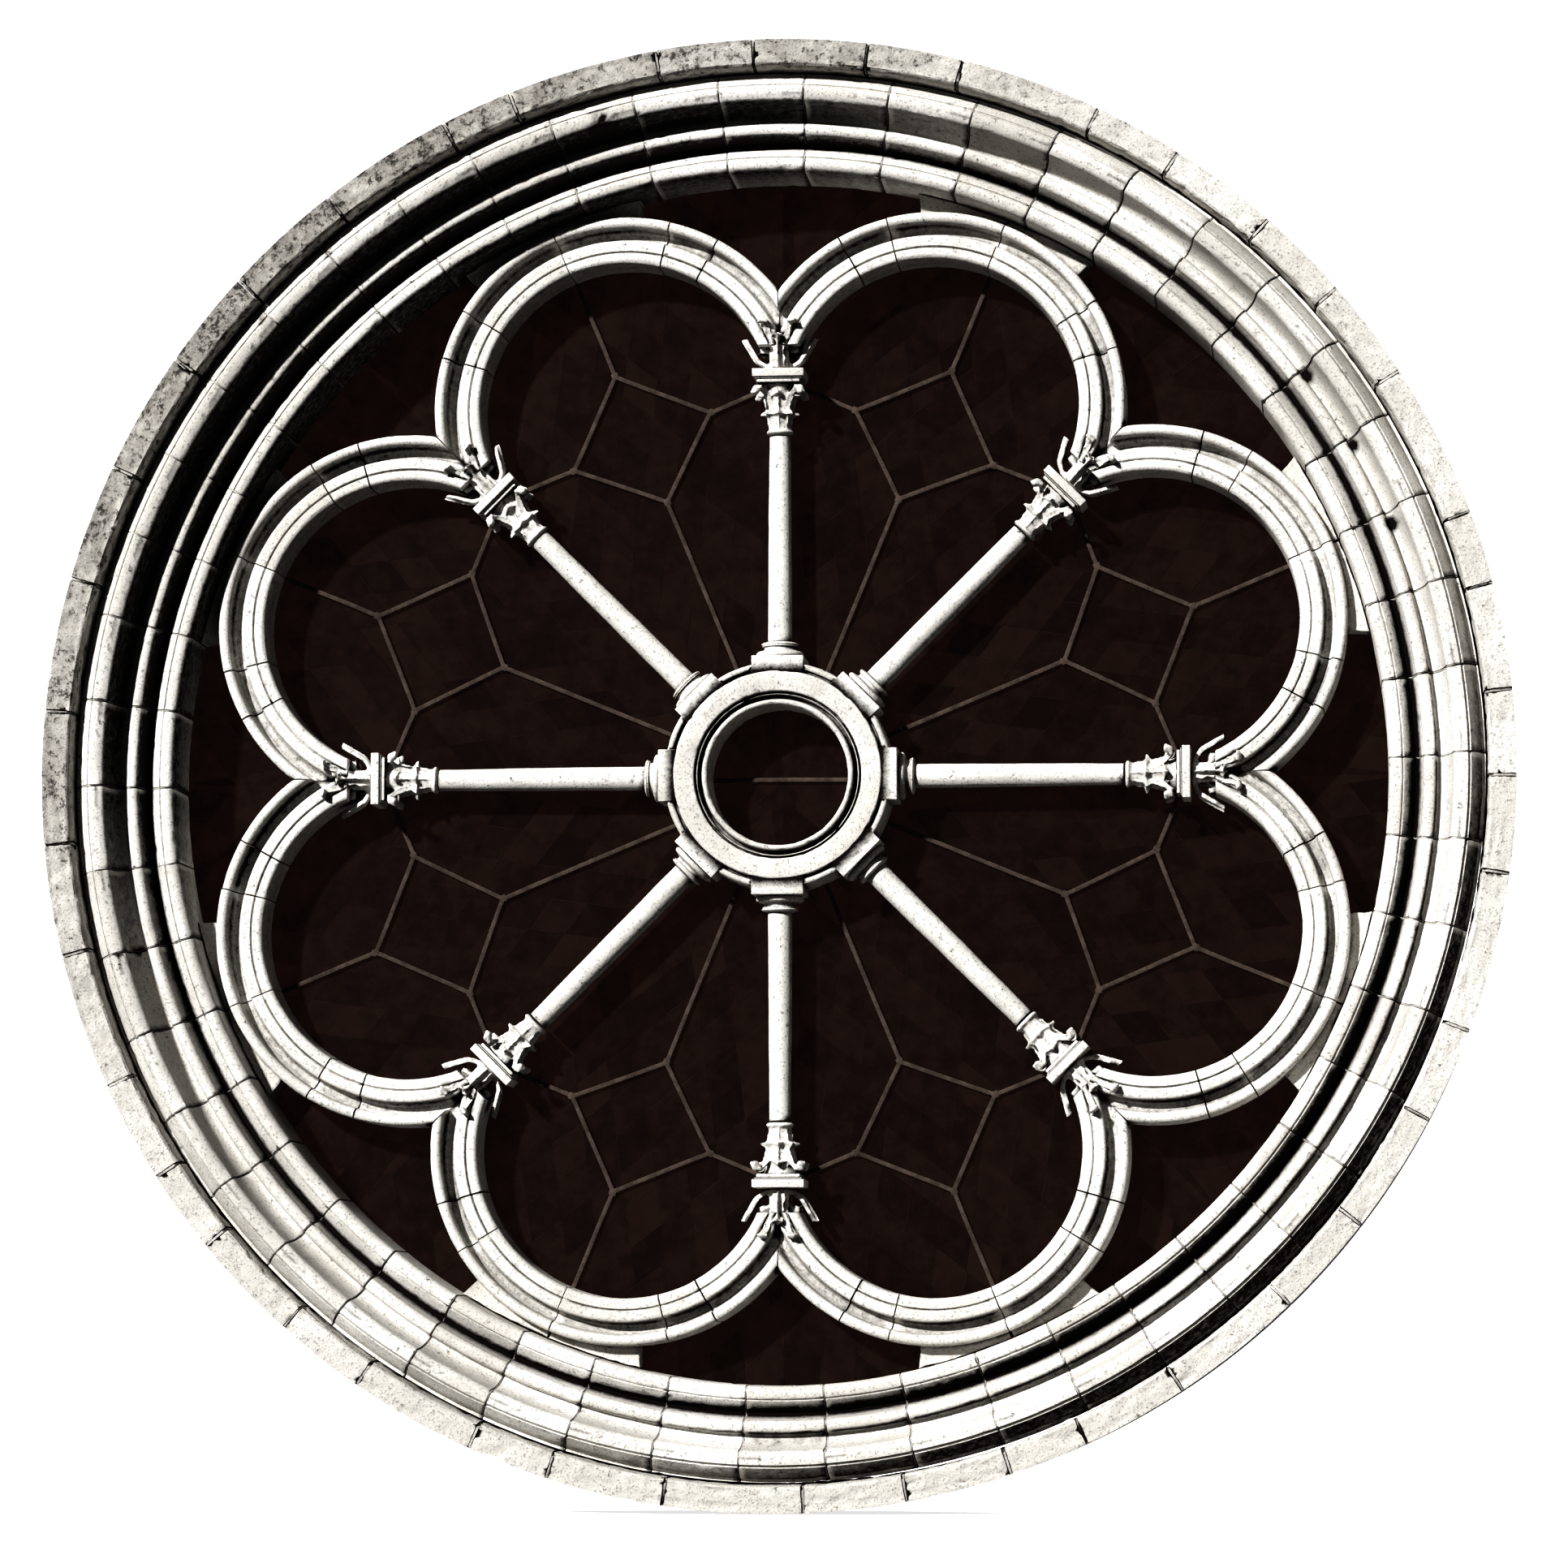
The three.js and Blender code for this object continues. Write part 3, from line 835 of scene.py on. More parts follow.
class WINDOW_OT_outer_band(bpy.types.Operator):
    """Lay the rough outer course, with stones of uneven width"""
    bl_idname = "window.outer_band"
    bl_label = "Outer course"

    def execute(self, context):
        ring = context.scene.window_ring
        inner, outer, depth = ring.ring_radius + 0.001, ring.band_radius, ring.depth
        profile = (
            [(inner, 0), (inner, 0.300)]
            + divided(
                [(inner, depth - 0.110), (inner, depth - 0.045), (inner + 0.006, depth - 0.012),
                 (inner + 0.018, depth), (outer - 0.004, depth), (outer, depth - 0.006),
                 (outer, depth - 0.040)], 0.012)
            + [(outer, 0.400), (outer, 0.200), (outer, 0)])
        dice = random.Random(29)
        widths = [dice.uniform(0.6, 1.5) for _ in range(ring.band_stones)]
        total = sum(widths)
        bm = new_stone()
        gap = ring.joint / 2.95
        start = math.radians(-1.4)
        joints = []
        for width in widths:
            sweep = math.tau * width / total
            stone = swept(bm, profile, start + gap / 2, start + sweep - gap / 2,
                          max(6, round(sweep / 0.008)), arris=0.004)
            toned(bm, stone, 0.25 + dice.uniform(-0.2, 0.2))
            push = dice.uniform(0.0, 0.010)
            for vert in stone:
                if vert.co.y < -depth * 0.7:
                    vert.co.y += push
            joints.append(start)
            start += sweep
        bmesh.ops.recalc_face_normals(bm, faces=bm.faces)
        bm.normal_update()
        walls = [(v, v.co.copy()) for v in bm.verts if math.hypot(v.co.x, v.co.z) > outer - 0.003]
        worn(bm.verts, 0.007, 0.05, rough=0.005)
        chipped(bm.verts, 0.007, 0.034, 0.26, seed=7.7)
        for vert, bedded in walls:
            vert.co = bedded
        filling = [
            (inner + 0.010, 0.002), (inner + 0.010, depth - 0.05), (inner + 0.03, depth - 0.012),
            (outer - 0.012, depth - 0.012), (outer - 0.001, depth - 0.02),
            (outer - 0.001, 0.002)]
        half = 0.0015
        for joint in joints:
            toned(bm, swept(bm, filling, joint - half, joint + half, 1), 0.1, 0.15)
        bmesh.ops.recalc_face_normals(bm, faces=bm.faces)
        sheltered(bm, 0.05)
        # painted shade on the faces turned away from the light
        darken_shade_side(bm, 0.15)
        finished("stone_outer_course", mesh_of(bm, "outer"),
                 finish_of("rough_limestone", rough_limestone), ["outer_band"],
                 crease=50)
        return {"FINISHED"}


class WINDOW_OT_hub(bpy.types.Operator):
    """Carve the pierced hub with its eight pedestals"""
    bl_idname = "window.hub"
    bl_label = "Hub"

    def execute(self, context):
        wheel = context.scene.window_wheel
        profile = (
            [(0.286, wheel.back), (0.286, 0.325)]
            + arc((0.301, 0.328), (0.015, 0.020), 180, 0, 9)
            + [(0.319, 0.302), (0.325, 0.300), (0.327, 0.330), (0.331, 0.338), (0.336, 0.338),
               (0.339, 0.322), (0.342, 0.322)]
            + arc((0.353, 0.346), (0.011, 0.010), 180, 90, 4)
            + [(0.385, 0.360)]
            + arc((0.422, 0.347), (0.010, 0.015), 90, 0, 4)
            + [(0.4335, 0.328), (0.4375, 0.328)]
            + arc((0.4545, 0.328), (0.017, 0.022), 170, 0, 8)
            + [(0.4715, wheel.back)])
        bm = new_stone()
        body = full_turn(bm, divided(profile, 0.05), 160)
        toned(bm, body, 0.40)
        dice = random.Random(5)
        for k in range(SPOKES):
            foot = block(
                bm, (-0.1095, -0.356, 0.405), (0.1095, -wheel.back, 0.494), 0.006,
                clockwise(k * SPOKE))
            toned(bm, foot, 0.55 + dice.uniform(-0.12, 0.12))
        bmesh.ops.recalc_face_normals(bm, faces=bm.faces)
        bm.normal_update()
        worn(bm.verts, 0.003, 0.06, rough=0.002)
        chipped(bm.verts, 0.004, 0.03, 0.36, seed=5.3)
        sheltered(bm, 0.05)
        # painted shade on the faces turned away from the light
        darken_shade_side(bm, 0.30)
        finished("stone_hub", mesh_of(bm, "hub"), dressed(), ["hub"])
        return {"FINISHED"}


class WINDOW_OT_bases(bpy.types.Operator):
    """Turn the bases under the shafts"""
    bl_idname = "window.bases"
    bl_label = "Bases"

    def execute(self, context):
        wheel = context.scene.window_wheel
        foot, head = BASE_LOW.z, BASE_HIGH.z
        outline = (
            [(foot, 0.090)]
            + [(foot + 0.012 + h, r) for r, h in arc((0.086, 0), (0.0135, 0.012), -90, 90, 8)]
            + [(foot + 0.028, 0.076)]
            + [(foot + 0.036 + h, r) for r, h in arc((0.074, 0), (-0.009, 0.008), -90, 90, 6)]
            + [(foot + 0.047, 0.074)]
            + [(foot + 0.054 + h, r) for r, h in arc((0.066, 0), (0.011, 0.007), -60, 90, 6)]
            + [(head, 0.060)])
        bm = new_stone()
        made = turned_on_spoke(bm, outline, 40)
        bmesh.ops.translate(bm, vec=(0, -wheel.axis, 0), verts=made)
        bmesh.ops.recalc_face_normals(bm, faces=bm.faces)
        toned(bm, bm.verts, 0.55)
        bm.normal_update()
        worn(bm.verts, 0.0015, 0.04)
        sheltered(bm, 0.05)
        placed_copies(mesh_of(bm, "base"), "stone_base", dressed(), "base")
        return {"FINISHED"}


class WINDOW_OT_shafts(bpy.types.Operator):
    """Turn the eight tapering shafts"""
    bl_idname = "window.shafts"
    bl_label = "Shafts"

    def execute(self, context):
        wheel = context.scene.window_wheel
        foot, head = SHAFT_LOW.z, SHAFT_HIGH.z
        outline = [(foot, wheel.foot_radius - 0.002)]
        rows = 26
        for i in range(rows + 1):
            t = i / rows
            swelling = 0.0012 * math.sin(math.pi * t)
            radius = wheel.foot_radius + (wheel.head_radius - wheel.foot_radius) * t + swelling
            outline.append((foot + 0.002 + (head - foot - 0.004) * t, radius))
        outline.append((head, wheel.head_radius - 0.002))
        bm = new_stone()
        made = turned_on_spoke(bm, outline, 36)
        bmesh.ops.translate(bm, vec=(0, -wheel.axis, 0), verts=made)
        bmesh.ops.recalc_face_normals(bm, faces=bm.faces)
        toned(bm, bm.verts, 0.6)
        # painted shade: the shaft darkens towards both ends, where it meets the base and the
        # capital
        grime_and_shade = bm.verts.layers.float["grime_and_shade"]
        for vert in bm.verts:
            near_end = min(vert.co.z - foot, head - vert.co.z)
            vert[grime_and_shade] = max(0.0, 0.34 - near_end * 9)
        placed_copies(mesh_of(bm, "shaft"), "stone_shaft", dressed(), "shaft",
                      wear=0.003)
        return {"FINISHED"}


def capital_master(wheel):
    """Neck roll, bell with two tiers of leaves, a crocket under each corner, and the slab."""
    bed = CAPITAL_LOW.z
    bm = new_stone()
    bell = [
        (bed + 0.002, 0.046), (bed + 0.004, 0.050)] + [
        (bed + 0.016 + h, r) for r, h in arc((0.050, 0), (0.0105, 0.010), -70, 70, 8)] + [
        (bed + 0.030, 0.045), (1.500, 0.045), (1.540, 0.047), (1.580, 0.053), (1.610, 0.063),
        (wheel.abacus_bed + 0.006, 0.074)]
    turned_on_spoke(bm, bell, 32)
    lower = [(0.044, 1.440), (0.049, 1.462), (0.053, 1.484), (0.058, 1.503), (0.065, 1.512),
             (0.067, 1.500)]
    part = leaf(lower, [0.017, 0.021, 0.023, 0.022, 0.016, 0.008], 0.012, 0.006, 0.014, lobes=3)
    stamped(bm, part, range(0, 360, 45))
    middle = [(0.048, 1.490), (0.056, 1.520), (0.062, 1.550), (0.070, 1.578), (0.082, 1.592),
              (0.084, 1.580)]
    corner = [(0.048, 1.485), (0.058, 1.520), (0.070, 1.555), (0.092, 1.588), (0.122, 1.610),
              (0.132, 1.600)]
    part = leaf(middle, [0.016, 0.022, 0.026, 0.026, 0.020, 0.010], 0.016, 0.007, 0.014, lobes=3)
    stamped(bm, part, range(0, 360, 90))
    part = leaf(corner, [0.016, 0.022, 0.024, 0.022, 0.020, 0.014], 0.014, 0.008, 0.018, lobes=2)
    knob(part, (0.131, 0, 1.596), 0.021)
    knob(part, (0.143, 0.010, 1.588), 0.011)
    knob(part, (0.143, -0.010, 1.588), 0.011)
    stamped(bm, part, range(45, 405, 90))
    bm = fused(bm, "bell", 0.0055)
    bmesh.ops.recalc_face_normals(bm, faces=bm.faces)
    bm.normal_update()
    worn(bm.verts, 0.003, 0.03, seed=4.2, rough=0.0015)
    half = wheel.abacus_width / 2
    top = CAPITAL_HIGH.z
    bed = wheel.abacus_bed
    for shy, low, high, edge in (
            (0, top - 0.036, top - 0.0005, 0.004),
            (0.010, top - 0.042, top - 0.034, 0.002),
            (0.017, bed, top - 0.038, 0.007)):
        block(bm, (shy - half, shy - half, low), (half - shy, half - shy, high), edge)
    bmesh.ops.translate(bm, vec=(0, -wheel.axis, 0), verts=bm.verts)
    bmesh.ops.recalc_face_normals(bm, faces=bm.faces)
    toned(bm, bm.verts, 0.55)
    sheltered(bm, 0.07)
    return mesh_of(bm, "capital")


class WINDOW_OT_capitals(bpy.types.Operator):
    """Carve the crocket capitals"""
    bl_idname = "window.capitals"
    bl_label = "Capitals"

    def execute(self, context):
        placed_copies(
            capital_master(context.scene.window_wheel), "stone_capital", dressed(), "capital",
            wear=0.002)
        return {"FINISHED"}


def arch_profile(wheel):
    """Arch section from the light outwards: roll, quirk, fillet, deep hollow, outer roll."""
    inner, outer, back = wheel.arch_inner, wheel.arch_outer, wheel.back
    band = arc((inner + 0.024, 0.290), (0.024, 0.028), 180, 90, 6) + [
        (inner + 0.046, 0.317), (inner + 0.056, 0.319), (inner + 0.082, 0.320)] + arc(
        (inner + 0.084, 0.300), (0.019, 0.020), 90, 0, 5)[1:]
    return (
        [(inner, back), (inner, 0.200)]
        + quirk(band, inner + 0.050, width=0.009, depth=0.011)
        + [(inner + 0.107, 0.262), (inner + 0.117, 0.250), (inner + 0.133, 0.250),
           (inner + 0.146, 0.262)]
        + arc((inner + 0.173, 0.308), (0.025, 0.028), 180, 0, 10)
        + [(outer, 0.285), (outer, 0.200), (outer, back)])


class WINDOW_OT_crowns(bpy.types.Operator):
    """Carve the two crown stones of every arch, with the web that meets the ring"""
    bl_idname = "window.crowns"
    bl_label = "Crown stones"

    def execute(self, context):
        wheel, ring = context.scene.window_wheel, context.scene.window_ring
        for k in range(SPOKES):
            for side, name in ((-1, "left"), (1, "right")):
                self.carve(wheel, ring, k, side, name)
        return {"FINISHED"}

    def carve(self, wheel, ring, k, side, name):
        dice = random.Random(100 + 2 * k + side)
        bm = new_stone()
        gap = wheel.joint / wheel.arch_outer
        band = swept(bm, arch_profile(wheel), gap / 2, math.radians(36) - gap / 2, 12,
                     arris=0.0015)
        tone = 0.55 + dice.uniform(-0.2, 0.15)
        toned(bm, band, tone)
        web = self.web(bm, wheel, ring, dice)
        toned(bm, web, tone - 0.25, 0.12)
        place = clockwise(PETAL + k * SPOKE) @ Matrix.Translation((0, 0, wheel.arch_offset))
        if side < 0:
            place = place @ Matrix.Scale(-1, 4, (1, 0, 0))
        bmesh.ops.transform(bm, matrix=place, verts=bm.verts)
        bmesh.ops.recalc_face_normals(bm, faces=bm.faces)
        bm.normal_update()
        rough_work = set(web)
        worn([v for v in bm.verts if v not in rough_work], 0.0025, 0.07, rough=0.001)
        worn(web, 0.010, 0.05, seed=k, rough=0.006)
        sheltered(bm, 0.09)
        # painted shade on the faces turned away from the light
        darken_shade_side(bm, 0.30)
        finished(f"stone_crown_{k + 1}_{name}", mesh_of(bm, "crown"), dressed(),
                 [f"crown_stone_{k + 1}_{name}"])

    def web(self, bm, wheel, ring, dice):
        """The rough block behind the outer roll, cut to the ring's opening."""
        first = len(bm.verts)
        inner, rows, row, front = wheel.arch_outer - 0.015, 7, 0.02, 0.262
        reach = math.radians(26.5) + dice.uniform(-0.01, 0.02)
        line = [bm.verts.new((0, -front, inner + row * i)) for i in range(rows)]
        edges = [bm.edges.new(pair) for pair in zip(line, line[1:])]
        bmesh.ops.spin(
            bm, geom=line + edges, cent=(0, 0, 0), axis=(0, 1, 0), angle=reach, steps=16,
            use_merge=False)
        bm.verts.ensure_lookup_table()
        sheet = bm.verts[first:]
        opening = ring.opening - 0.0005
        for vert in sheet:
            radius, angle = math.hypot(vert.co.x, vert.co.z), math.atan2(vert.co.x, vert.co.z)
            share = (radius - inner) / (row * (rows - 1))
            middle = wheel.arch_offset * math.cos(angle)
            limit = -middle + math.sqrt(
                middle ** 2 + opening ** 2 - wheel.arch_offset ** 2)
            scale = (inner + (limit - inner) * share) / radius
            vert.co.x *= scale
            vert.co.z *= scale
        faces = list({f for v in sheet for f in v.link_faces})
        raised = bmesh.ops.extrude_face_region(bm, geom=faces)["geom"]
        moved = [v for v in raised if isinstance(v, bmesh.types.BMVert)]
        bmesh.ops.translate(bm, vec=(0, front - wheel.back, 0), verts=moved)
        bm.verts.ensure_lookup_table()
        return bm.verts[first:]


def springer_arm(bm, wheel, bed):
    """The foot of one arch on the right of a spoke, cut on the spoke's plane and on its bed."""
    gap = wheel.joint / wheel.arch_outer
    middle = math.radians(51.5)
    profile = arch_profile(wheel)
    upper = swept(bm, profile, -middle + gap / 2, -math.radians(36) - gap / 2, 7, arris=0.0015)
    lower = swept(bm, profile, -math.radians(100), -middle - gap / 2, 16, arris=0.0015)
    toned(bm, upper, 0.5)
    toned(bm, lower, 0.6)
    for vert in upper:
        vert.co.y += 0.003
    place = clockwise(PETAL) @ Matrix.Translation((0, 0, wheel.arch_offset))
    bmesh.ops.transform(bm, matrix=place, verts=bm.verts)
    for point, normal in (((0.0003, 0, 0), (-1, 0, 0)), ((0, 0, bed + 0.098), (0, 0, -1))):
        geometry = list(bm.verts) + list(bm.edges) + list(bm.faces)
        cut = bmesh.ops.bisect_plane(
            bm, geom=geometry, plane_co=point, plane_no=normal, clear_outer=True)
        rim = [e for e in cut["geom_cut"] if isinstance(e, bmesh.types.BMEdge)]
        bmesh.ops.holes_fill(bm, edges=rim)
    bmesh.ops.recalc_face_normals(bm, faces=bm.faces)


def springer_master(wheel):
    """Two arch feet that meet over the spoke, on a block with a plume and curled side leaves."""
    bed = CAPITAL_HIGH.z + 0.0005
    carving = new_stone()
    block(carving, (-0.044, -0.050, bed), (0.044, 0.104, bed + 0.090), 0.010)
    block(carving, (-0.088, -0.020, bed + 0.066), (0.088, 0.106, bed + 0.132), 0.016)
    plume = [(0.066, bed + 0.002), (0.086, bed + 0.034), (0.094, bed + 0.070),
             (0.102, bed + 0.108), (0.114, bed + 0.142), (0.120, bed + 0.132)]
    part = leaf(plume, [0.030, 0.036, 0.031, 0.028, 0.020, 0.010], 0.016, 0.014, 0.026, lobes=4)
    stamped(carving, part, [-90])
    upper = [(0.070, bed + 0.085), (0.094, bed + 0.112), (0.108, bed + 0.140),
             (0.120, bed + 0.168), (0.131, bed + 0.190), (0.138, bed + 0.180)]
    part = leaf(upper, [0.014, 0.020, 0.023, 0.022, 0.018, 0.012], 0.010, 0.008, 0.024, lobes=2)
    stamped(carving, part, [-63, -117])
    side = [(0.050, bed + 0.002), (0.098, bed + 0.028), (0.118, bed + 0.058),
            (0.136, bed + 0.090), (0.152, bed + 0.118), (0.160, bed + 0.134)]
    part = leaf(side, [0.024, 0.036, 0.040, 0.036, 0.026, 0.014], 0.008, 0.008, 0.022, lobes=3)
    stamped(carving, part, [0, 180])
    bm = fused(carving, "springer_leaves", 0.0052)
    bmesh.ops.translate(bm, vec=(0, -wheel.axis, 0), verts=bm.verts)
    bmesh.ops.recalc_face_normals(bm, faces=bm.faces)
    bm.normal_update()
    toned(bm, bm.verts, 0.5)
    worn(bm.verts, 0.003, 0.03, seed=9.4, rough=0.0015)
    arms = new_stone()
    springer_arm(arms, wheel, bed)
    both = bmesh.ops.duplicate(
        arms, geom=list(arms.verts) + list(arms.edges) + list(arms.faces))["geom"]
    left = [v for v in both if isinstance(v, bmesh.types.BMVert)]
    bmesh.ops.scale(arms, vec=(-1, 1, 1), verts=left)
    bmesh.ops.recalc_face_normals(arms, faces=arms.faces)
    arms.normal_update()
    worn(arms.verts, 0.0025, 0.07, rough=0.001)
    arm_mesh = mesh_of(arms, "arms")
    bm.from_mesh(arm_mesh)
    bpy.data.meshes.remove(arm_mesh)
    sheltered(bm, 0.10)
    return mesh_of(bm, "springer")


class WINDOW_OT_springers(bpy.types.Operator):
    """Carve the forked springers with their leaves"""
    bl_idname = "window.springers"
    bl_label = "Springers"

    def execute(self, context):
        placed_copies(
            springer_master(context.scene.window_wheel), "stone_springer", dressed(), "springer",
            wear=0.002)
        return {"FINISHED"}


class WINDOW_OT_ironwork(bpy.types.Operator):
    """Forge the iron frame behind the stone"""
    bl_idname = "window.ironwork"
    bl_label = "Ironwork"

    def execute(self, context):
        grille = context.scene.window_grille
        width, thick = grille.bar, grille.bar_depth
        outer, side, inner, half = 1.838, 1.539, 1.263, 0.309
        tie_end, meeting, ring = IRON_HIGH.z - 0.001, 1.669, 0.360
        bm = bmesh.new()
        corners = [
            (ring * math.sin(PETAL + k * SPOKE), ring * math.cos(PETAL + k * SPOKE))
            for k in range(SPOKES)]
        for a, b in zip(corners, corners[1:] + corners[:1]):
            bar(bm, a, b, width * 1.4, thick)
        bar(bm, (-ring, 0), (ring, 0), width, thick, bends=8)
        join = (meeting * math.sin(PETAL), meeting * math.cos(PETAL))
        for k in range(SPOKES):
            place = clockwise(PETAL + k * SPOKE)
            for a, b in (
                    ((0, outer), (half, side)), ((half, side), (0, inner)),
                    ((0, inner), (-half, side)), ((-half, side), (0, outer)),
                    ((0, outer), (0, tie_end)), ((0, ring), (0, inner)),
                    ((half, side), join), ((-half, side), (-join[0], join[1]))):
                bar(bm, a, b, width, thick * 0.96, place, bends=12)
            for x, z in ((0, outer), (half, side), (0, inner), (-half, side)):
                block(bm, (x - 0.015, -0.0095, z - 0.015), (x + 0.015, 0.0095, z + 0.015), 0.003,
                      place)
        bmesh.ops.translate(bm, vec=(0, (IRON_LOW.y + IRON_HIGH.y) / 2, 0), verts=bm.verts)
        bmesh.ops.recalc_face_normals(bm, faces=bm.faces)
        finished("iron_frame", mesh_of(bm, "iron"), finish_of("rusted_iron", rusted_iron),
                 ["ironwork"])
        return {"FINISHED"}


class WINDOW_OT_glazing(bpy.types.Operator):
    """Lead the glass: diamond panes between thin lead strips in eight panels"""
    bl_idname = "window.glazing"
    bl_label = "Glazing"

    def execute(self, context):
        grille = context.scene.window_grille
        radius = GLASS_HIGH.x - 0.002
        middle = (GLASS_LOW.y + GLASS_HIGH.y) / 2
        pane_thickness, lead_depth = 0.004, 0.0078
        sheet = self.panel(grille, radius)
        panes, leads = bmesh.new(), bmesh.new()
        tone = panes.verts.layers.float.new("tone")
        dice = random.Random(3)
        strips = sheet.copy()
        bmesh.ops.wireframe(
            strips, faces=strips.faces, thickness=grille.lead, use_replace=True,
            use_boundary=True)
        low, high = (f(v.co.y for v in strips.verts) for f in (min, max))
        bmesh.ops.scale(strips, vec=(1, lead_depth / (high - low), 1), verts=strips.verts)
        network = mesh_of(strips, "network")
        for k in range(SPOKES):
            place = clockwise(PETAL + k * SPOKE)
            copy = network.copy()
            copy.transform(place)
            leads.from_mesh(copy)
            bpy.data.meshes.remove(copy)
            for face in sheet.faces:
                pane = [panes.verts.new(place @ v.co) for v in face.verts]
                panes.faces.new(pane)
                centre = place @ face.calc_center_median()
                lean = Matrix.Rotation(dice.uniform(-0.010, 0.010), 3, "X") @ Matrix.Rotation(
                    dice.uniform(-0.010, 0.010), 3, "Z")
                bmesh.ops.rotate(panes, cent=centre, matrix=lean, verts=pane)
                shade = dice.gauss(0.45, 0.10)
                for vert in pane:
                    vert[tone] = shade
        sheet.free()
        bmesh.ops.solidify(panes, geom=panes.faces, thickness=pane_thickness)
        bmesh.ops.recalc_face_normals(panes, faces=panes.faces)
        for bm in (panes, leads):
            bmesh.ops.translate(bm, vec=(0, middle, 0), verts=bm.verts)
        finished("glass_panes", mesh_of(panes, "panes"), finish_of("old_glass", old_glass),
                 ["glazing"], crease=20)
        finished("glass_leads", mesh_of(leads, "leads"), finish_of("dull_lead", dull_lead),
                 ["glazing"])
        return {"FINISHED"}

    def panel(self, grille, radius):
        """One flat panel about the top, cut into panes by two runs of leads."""
        bm = bmesh.new()
        hub = bm.verts.new((0, 0, 0))
        rim = bm.verts.new((radius * math.sin(-PETAL), 0, radius * math.cos(PETAL)))
        bmesh.ops.spin(
            bm, geom=[rim], cent=(0, 0, 0), axis=(0, 1, 0), angle=SPOKE, steps=12,
            use_merge=False)
        bm.verts.ensure_lookup_table()
        bm.faces.new([hub] + sorted(
            (v for v in bm.verts if v is not hub), key=lambda v: v.co.x))
        for lean in (30, -30):
            across = Vector((math.cos(math.radians(lean)), 0, math.sin(math.radians(lean))))
            count = math.ceil(radius / grille.pane)
            for i in range(-count, count + 1):
                bmesh.ops.bisect_plane(
                    bm, geom=list(bm.verts) + list(bm.edges) + list(bm.faces),
                    plane_co=across * (i + 0.5) * grille.pane, plane_no=across)
        bmesh.ops.remove_doubles(bm, verts=bm.verts, dist=0.002)
        return bm


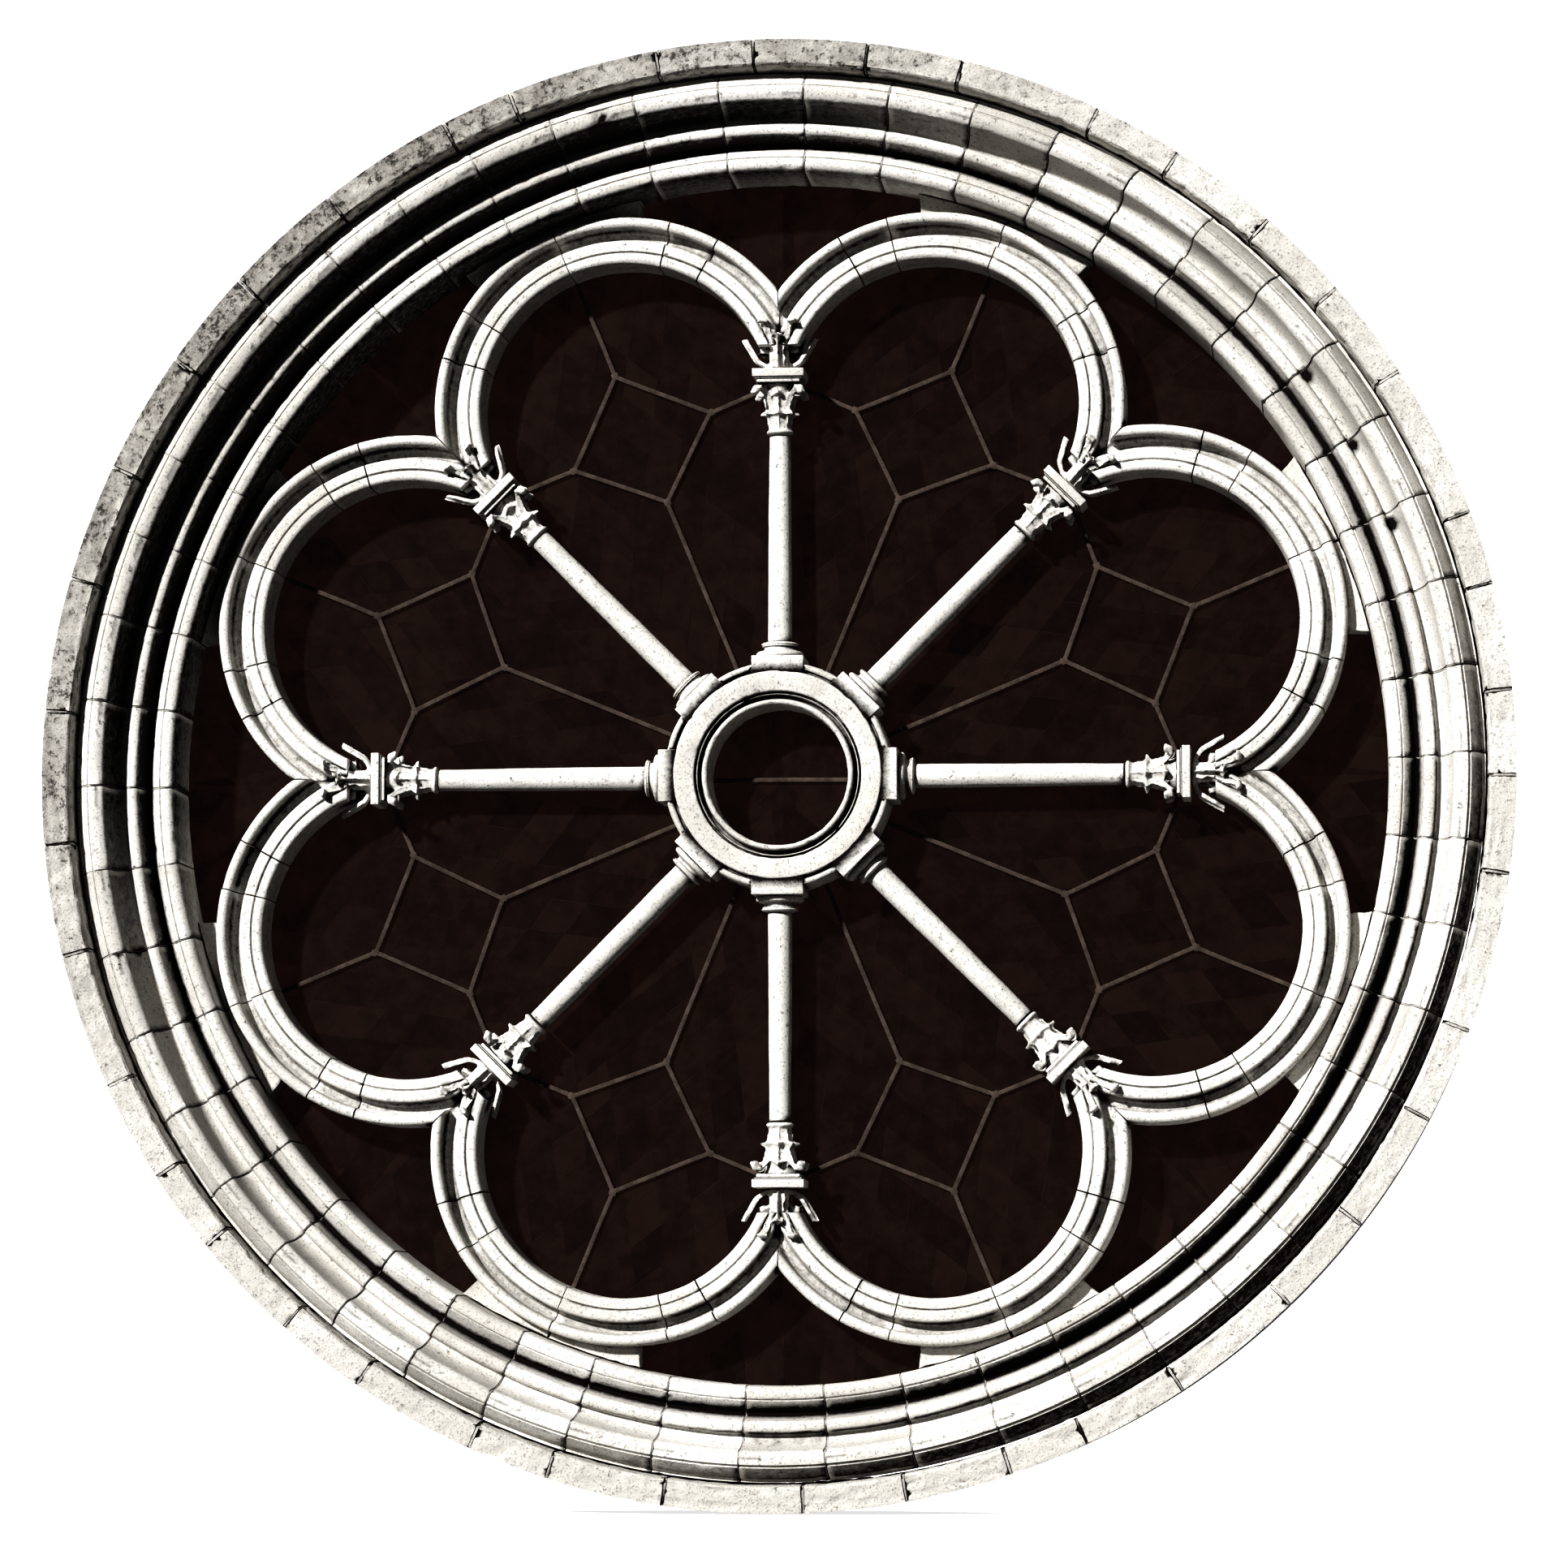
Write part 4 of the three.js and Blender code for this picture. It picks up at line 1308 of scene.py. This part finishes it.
class WINDOW_OT_stage(bpy.types.Operator):
    """Set the floor, the light and the camera"""
    bl_idname = "window.stage"
    bl_label = "Stage"

    TOWARDS_SUN = (-0.6, -1, 0.6)
    TOWARDS_FILL = (0.5, 1, 0.7)
    AIM = (0.028, -0.35, -0.040)
    HALF_FLOOR = 60

    def execute(self, context):
        scene, stage = context.scene, context.scene.window_stage
        bm = bmesh.new()
        bmesh.ops.create_grid(bm, x_segments=1, y_segments=1, size=self.HALF_FLOOR)
        bmesh.ops.translate(bm, vec=(0, 0, BAND_LOW.z - 0.002), verts=bm.verts)
        floor = bpy.data.objects.new("floor", mesh_of(bm, "floor"))
        floor.data.materials.append(matt_plaster(scene.window_finish))
        context.collection.objects.link(floor)
        # The window sits high in a wall, so the ground sends no light up to it.
        floor.visible_diffuse = False

        # The fill stands behind the window: it shows the back and leaves the front as it is.
        for name, towards, strength, spread in (
                ("low_sun", self.TOWARDS_SUN, stage.sun_strength, 3),
                ("back_fill", self.TOWARDS_FILL, stage.fill_strength, 20)):
            sun = bpy.data.lights.new(name, "SUN")
            sun.energy = strength
            sun.angle = math.radians(spread)
            sun.color = (1.0, 0.995, 0.985)
            lamp = bpy.data.objects.new(name, sun)
            lamp.rotation_euler = Vector(towards).to_track_quat("Z", "Y").to_euler()
            context.collection.objects.link(lamp)

        world = bpy.data.worlds.new("white_studio")
        world.use_nodes = True
        tree = world.node_tree
        light = tree.nodes["Background"]
        light.inputs["Color"].default_value = (0.93, 0.96, 1.0, 1)
        light.inputs["Strength"].default_value = stage.sky_strength
        backing = add(tree, "ShaderNodeBackground", {"Color": (1, 1, 1, 1), "Strength": 1.0})
        seen = add(tree, "ShaderNodeLightPath").outputs["Is Camera Ray"]
        both = add(tree, "ShaderNodeMixShader", {
            0: seen, 1: light.outputs[0], 2: backing.outputs[0]})
        tree.links.new(both.outputs[0], tree.nodes["World Output"].inputs["Surface"])
        scene.world = world
        scene.view_settings.view_transform = "Standard"
        scene.view_settings.look = "Very High Contrast"

        camera = bpy.data.cameras.new("viewer")
        camera.sensor_fit = "HORIZONTAL"
        camera.lens = camera.sensor_width * stage.distance / stage.view_width
        camera.clip_end = 200
        viewer = bpy.data.objects.new("viewer", camera)
        direction = Vector((
            math.sin(stage.azimuth) * math.cos(stage.elevation),
            -math.cos(stage.azimuth) * math.cos(stage.elevation),
            math.sin(stage.elevation)))
        viewer.location = Vector(self.AIM) + direction * stage.distance
        viewer.rotation_euler = direction.to_track_quat("Z", "Y").to_euler()
        context.collection.objects.link(viewer)
        scene.camera = viewer
        return {"FINISHED"}


class WINDOW_PT_panel(bpy.types.Panel):
    """Lists the window's sizes and the steps that build it"""
    bl_label = "Rose window"
    bl_space_type = "VIEW_3D"
    bl_region_type = "UI"
    bl_category = "Rose window"

    def draw(self, context):
        for name in GROUPS:
            group = getattr(context.scene, name)
            box = self.layout.box()
            for setting in group.__annotations__:
                box.prop(group, setting)
        for operator in OPERATORS:
            self.layout.operator(operator.bl_idname)


OPERATORS = (
    WINDOW_OT_outer_band,
    WINDOW_OT_ring,
    WINDOW_OT_hub,
    WINDOW_OT_bases,
    WINDOW_OT_shafts,
    WINDOW_OT_capitals,
    WINDOW_OT_springers,
    WINDOW_OT_crowns,
    WINDOW_OT_ironwork,
    WINDOW_OT_glazing,
    WINDOW_OT_stage,
)


def register():
    for group in GROUPS.values():
        bpy.utils.register_class(group)
    for operator in OPERATORS:
        bpy.utils.register_class(operator)
    bpy.utils.register_class(WINDOW_PT_panel)
    for name, group in GROUPS.items():
        setattr(bpy.types.Scene, name, PointerProperty(type=group))


def unregister():
    for name in GROUPS:
        delattr(bpy.types.Scene, name)
    bpy.utils.unregister_class(WINDOW_PT_panel)
    for operator in reversed(OPERATORS):
        bpy.utils.unregister_class(operator)
    for group in reversed(GROUPS.values()):
        bpy.utils.unregister_class(group)


def main():
    register()
    bpy.ops.window.outer_band()
    bpy.ops.window.ring()
    bpy.ops.window.hub()
    bpy.ops.window.bases()
    bpy.ops.window.shafts()
    bpy.ops.window.capitals()
    bpy.ops.window.springers()
    bpy.ops.window.crowns()
    bpy.ops.window.ironwork()
    bpy.ops.window.glazing()
    bpy.ops.window.stage()
    bpy.context.view_layer.update()


if __name__ == "__main__":
    main()
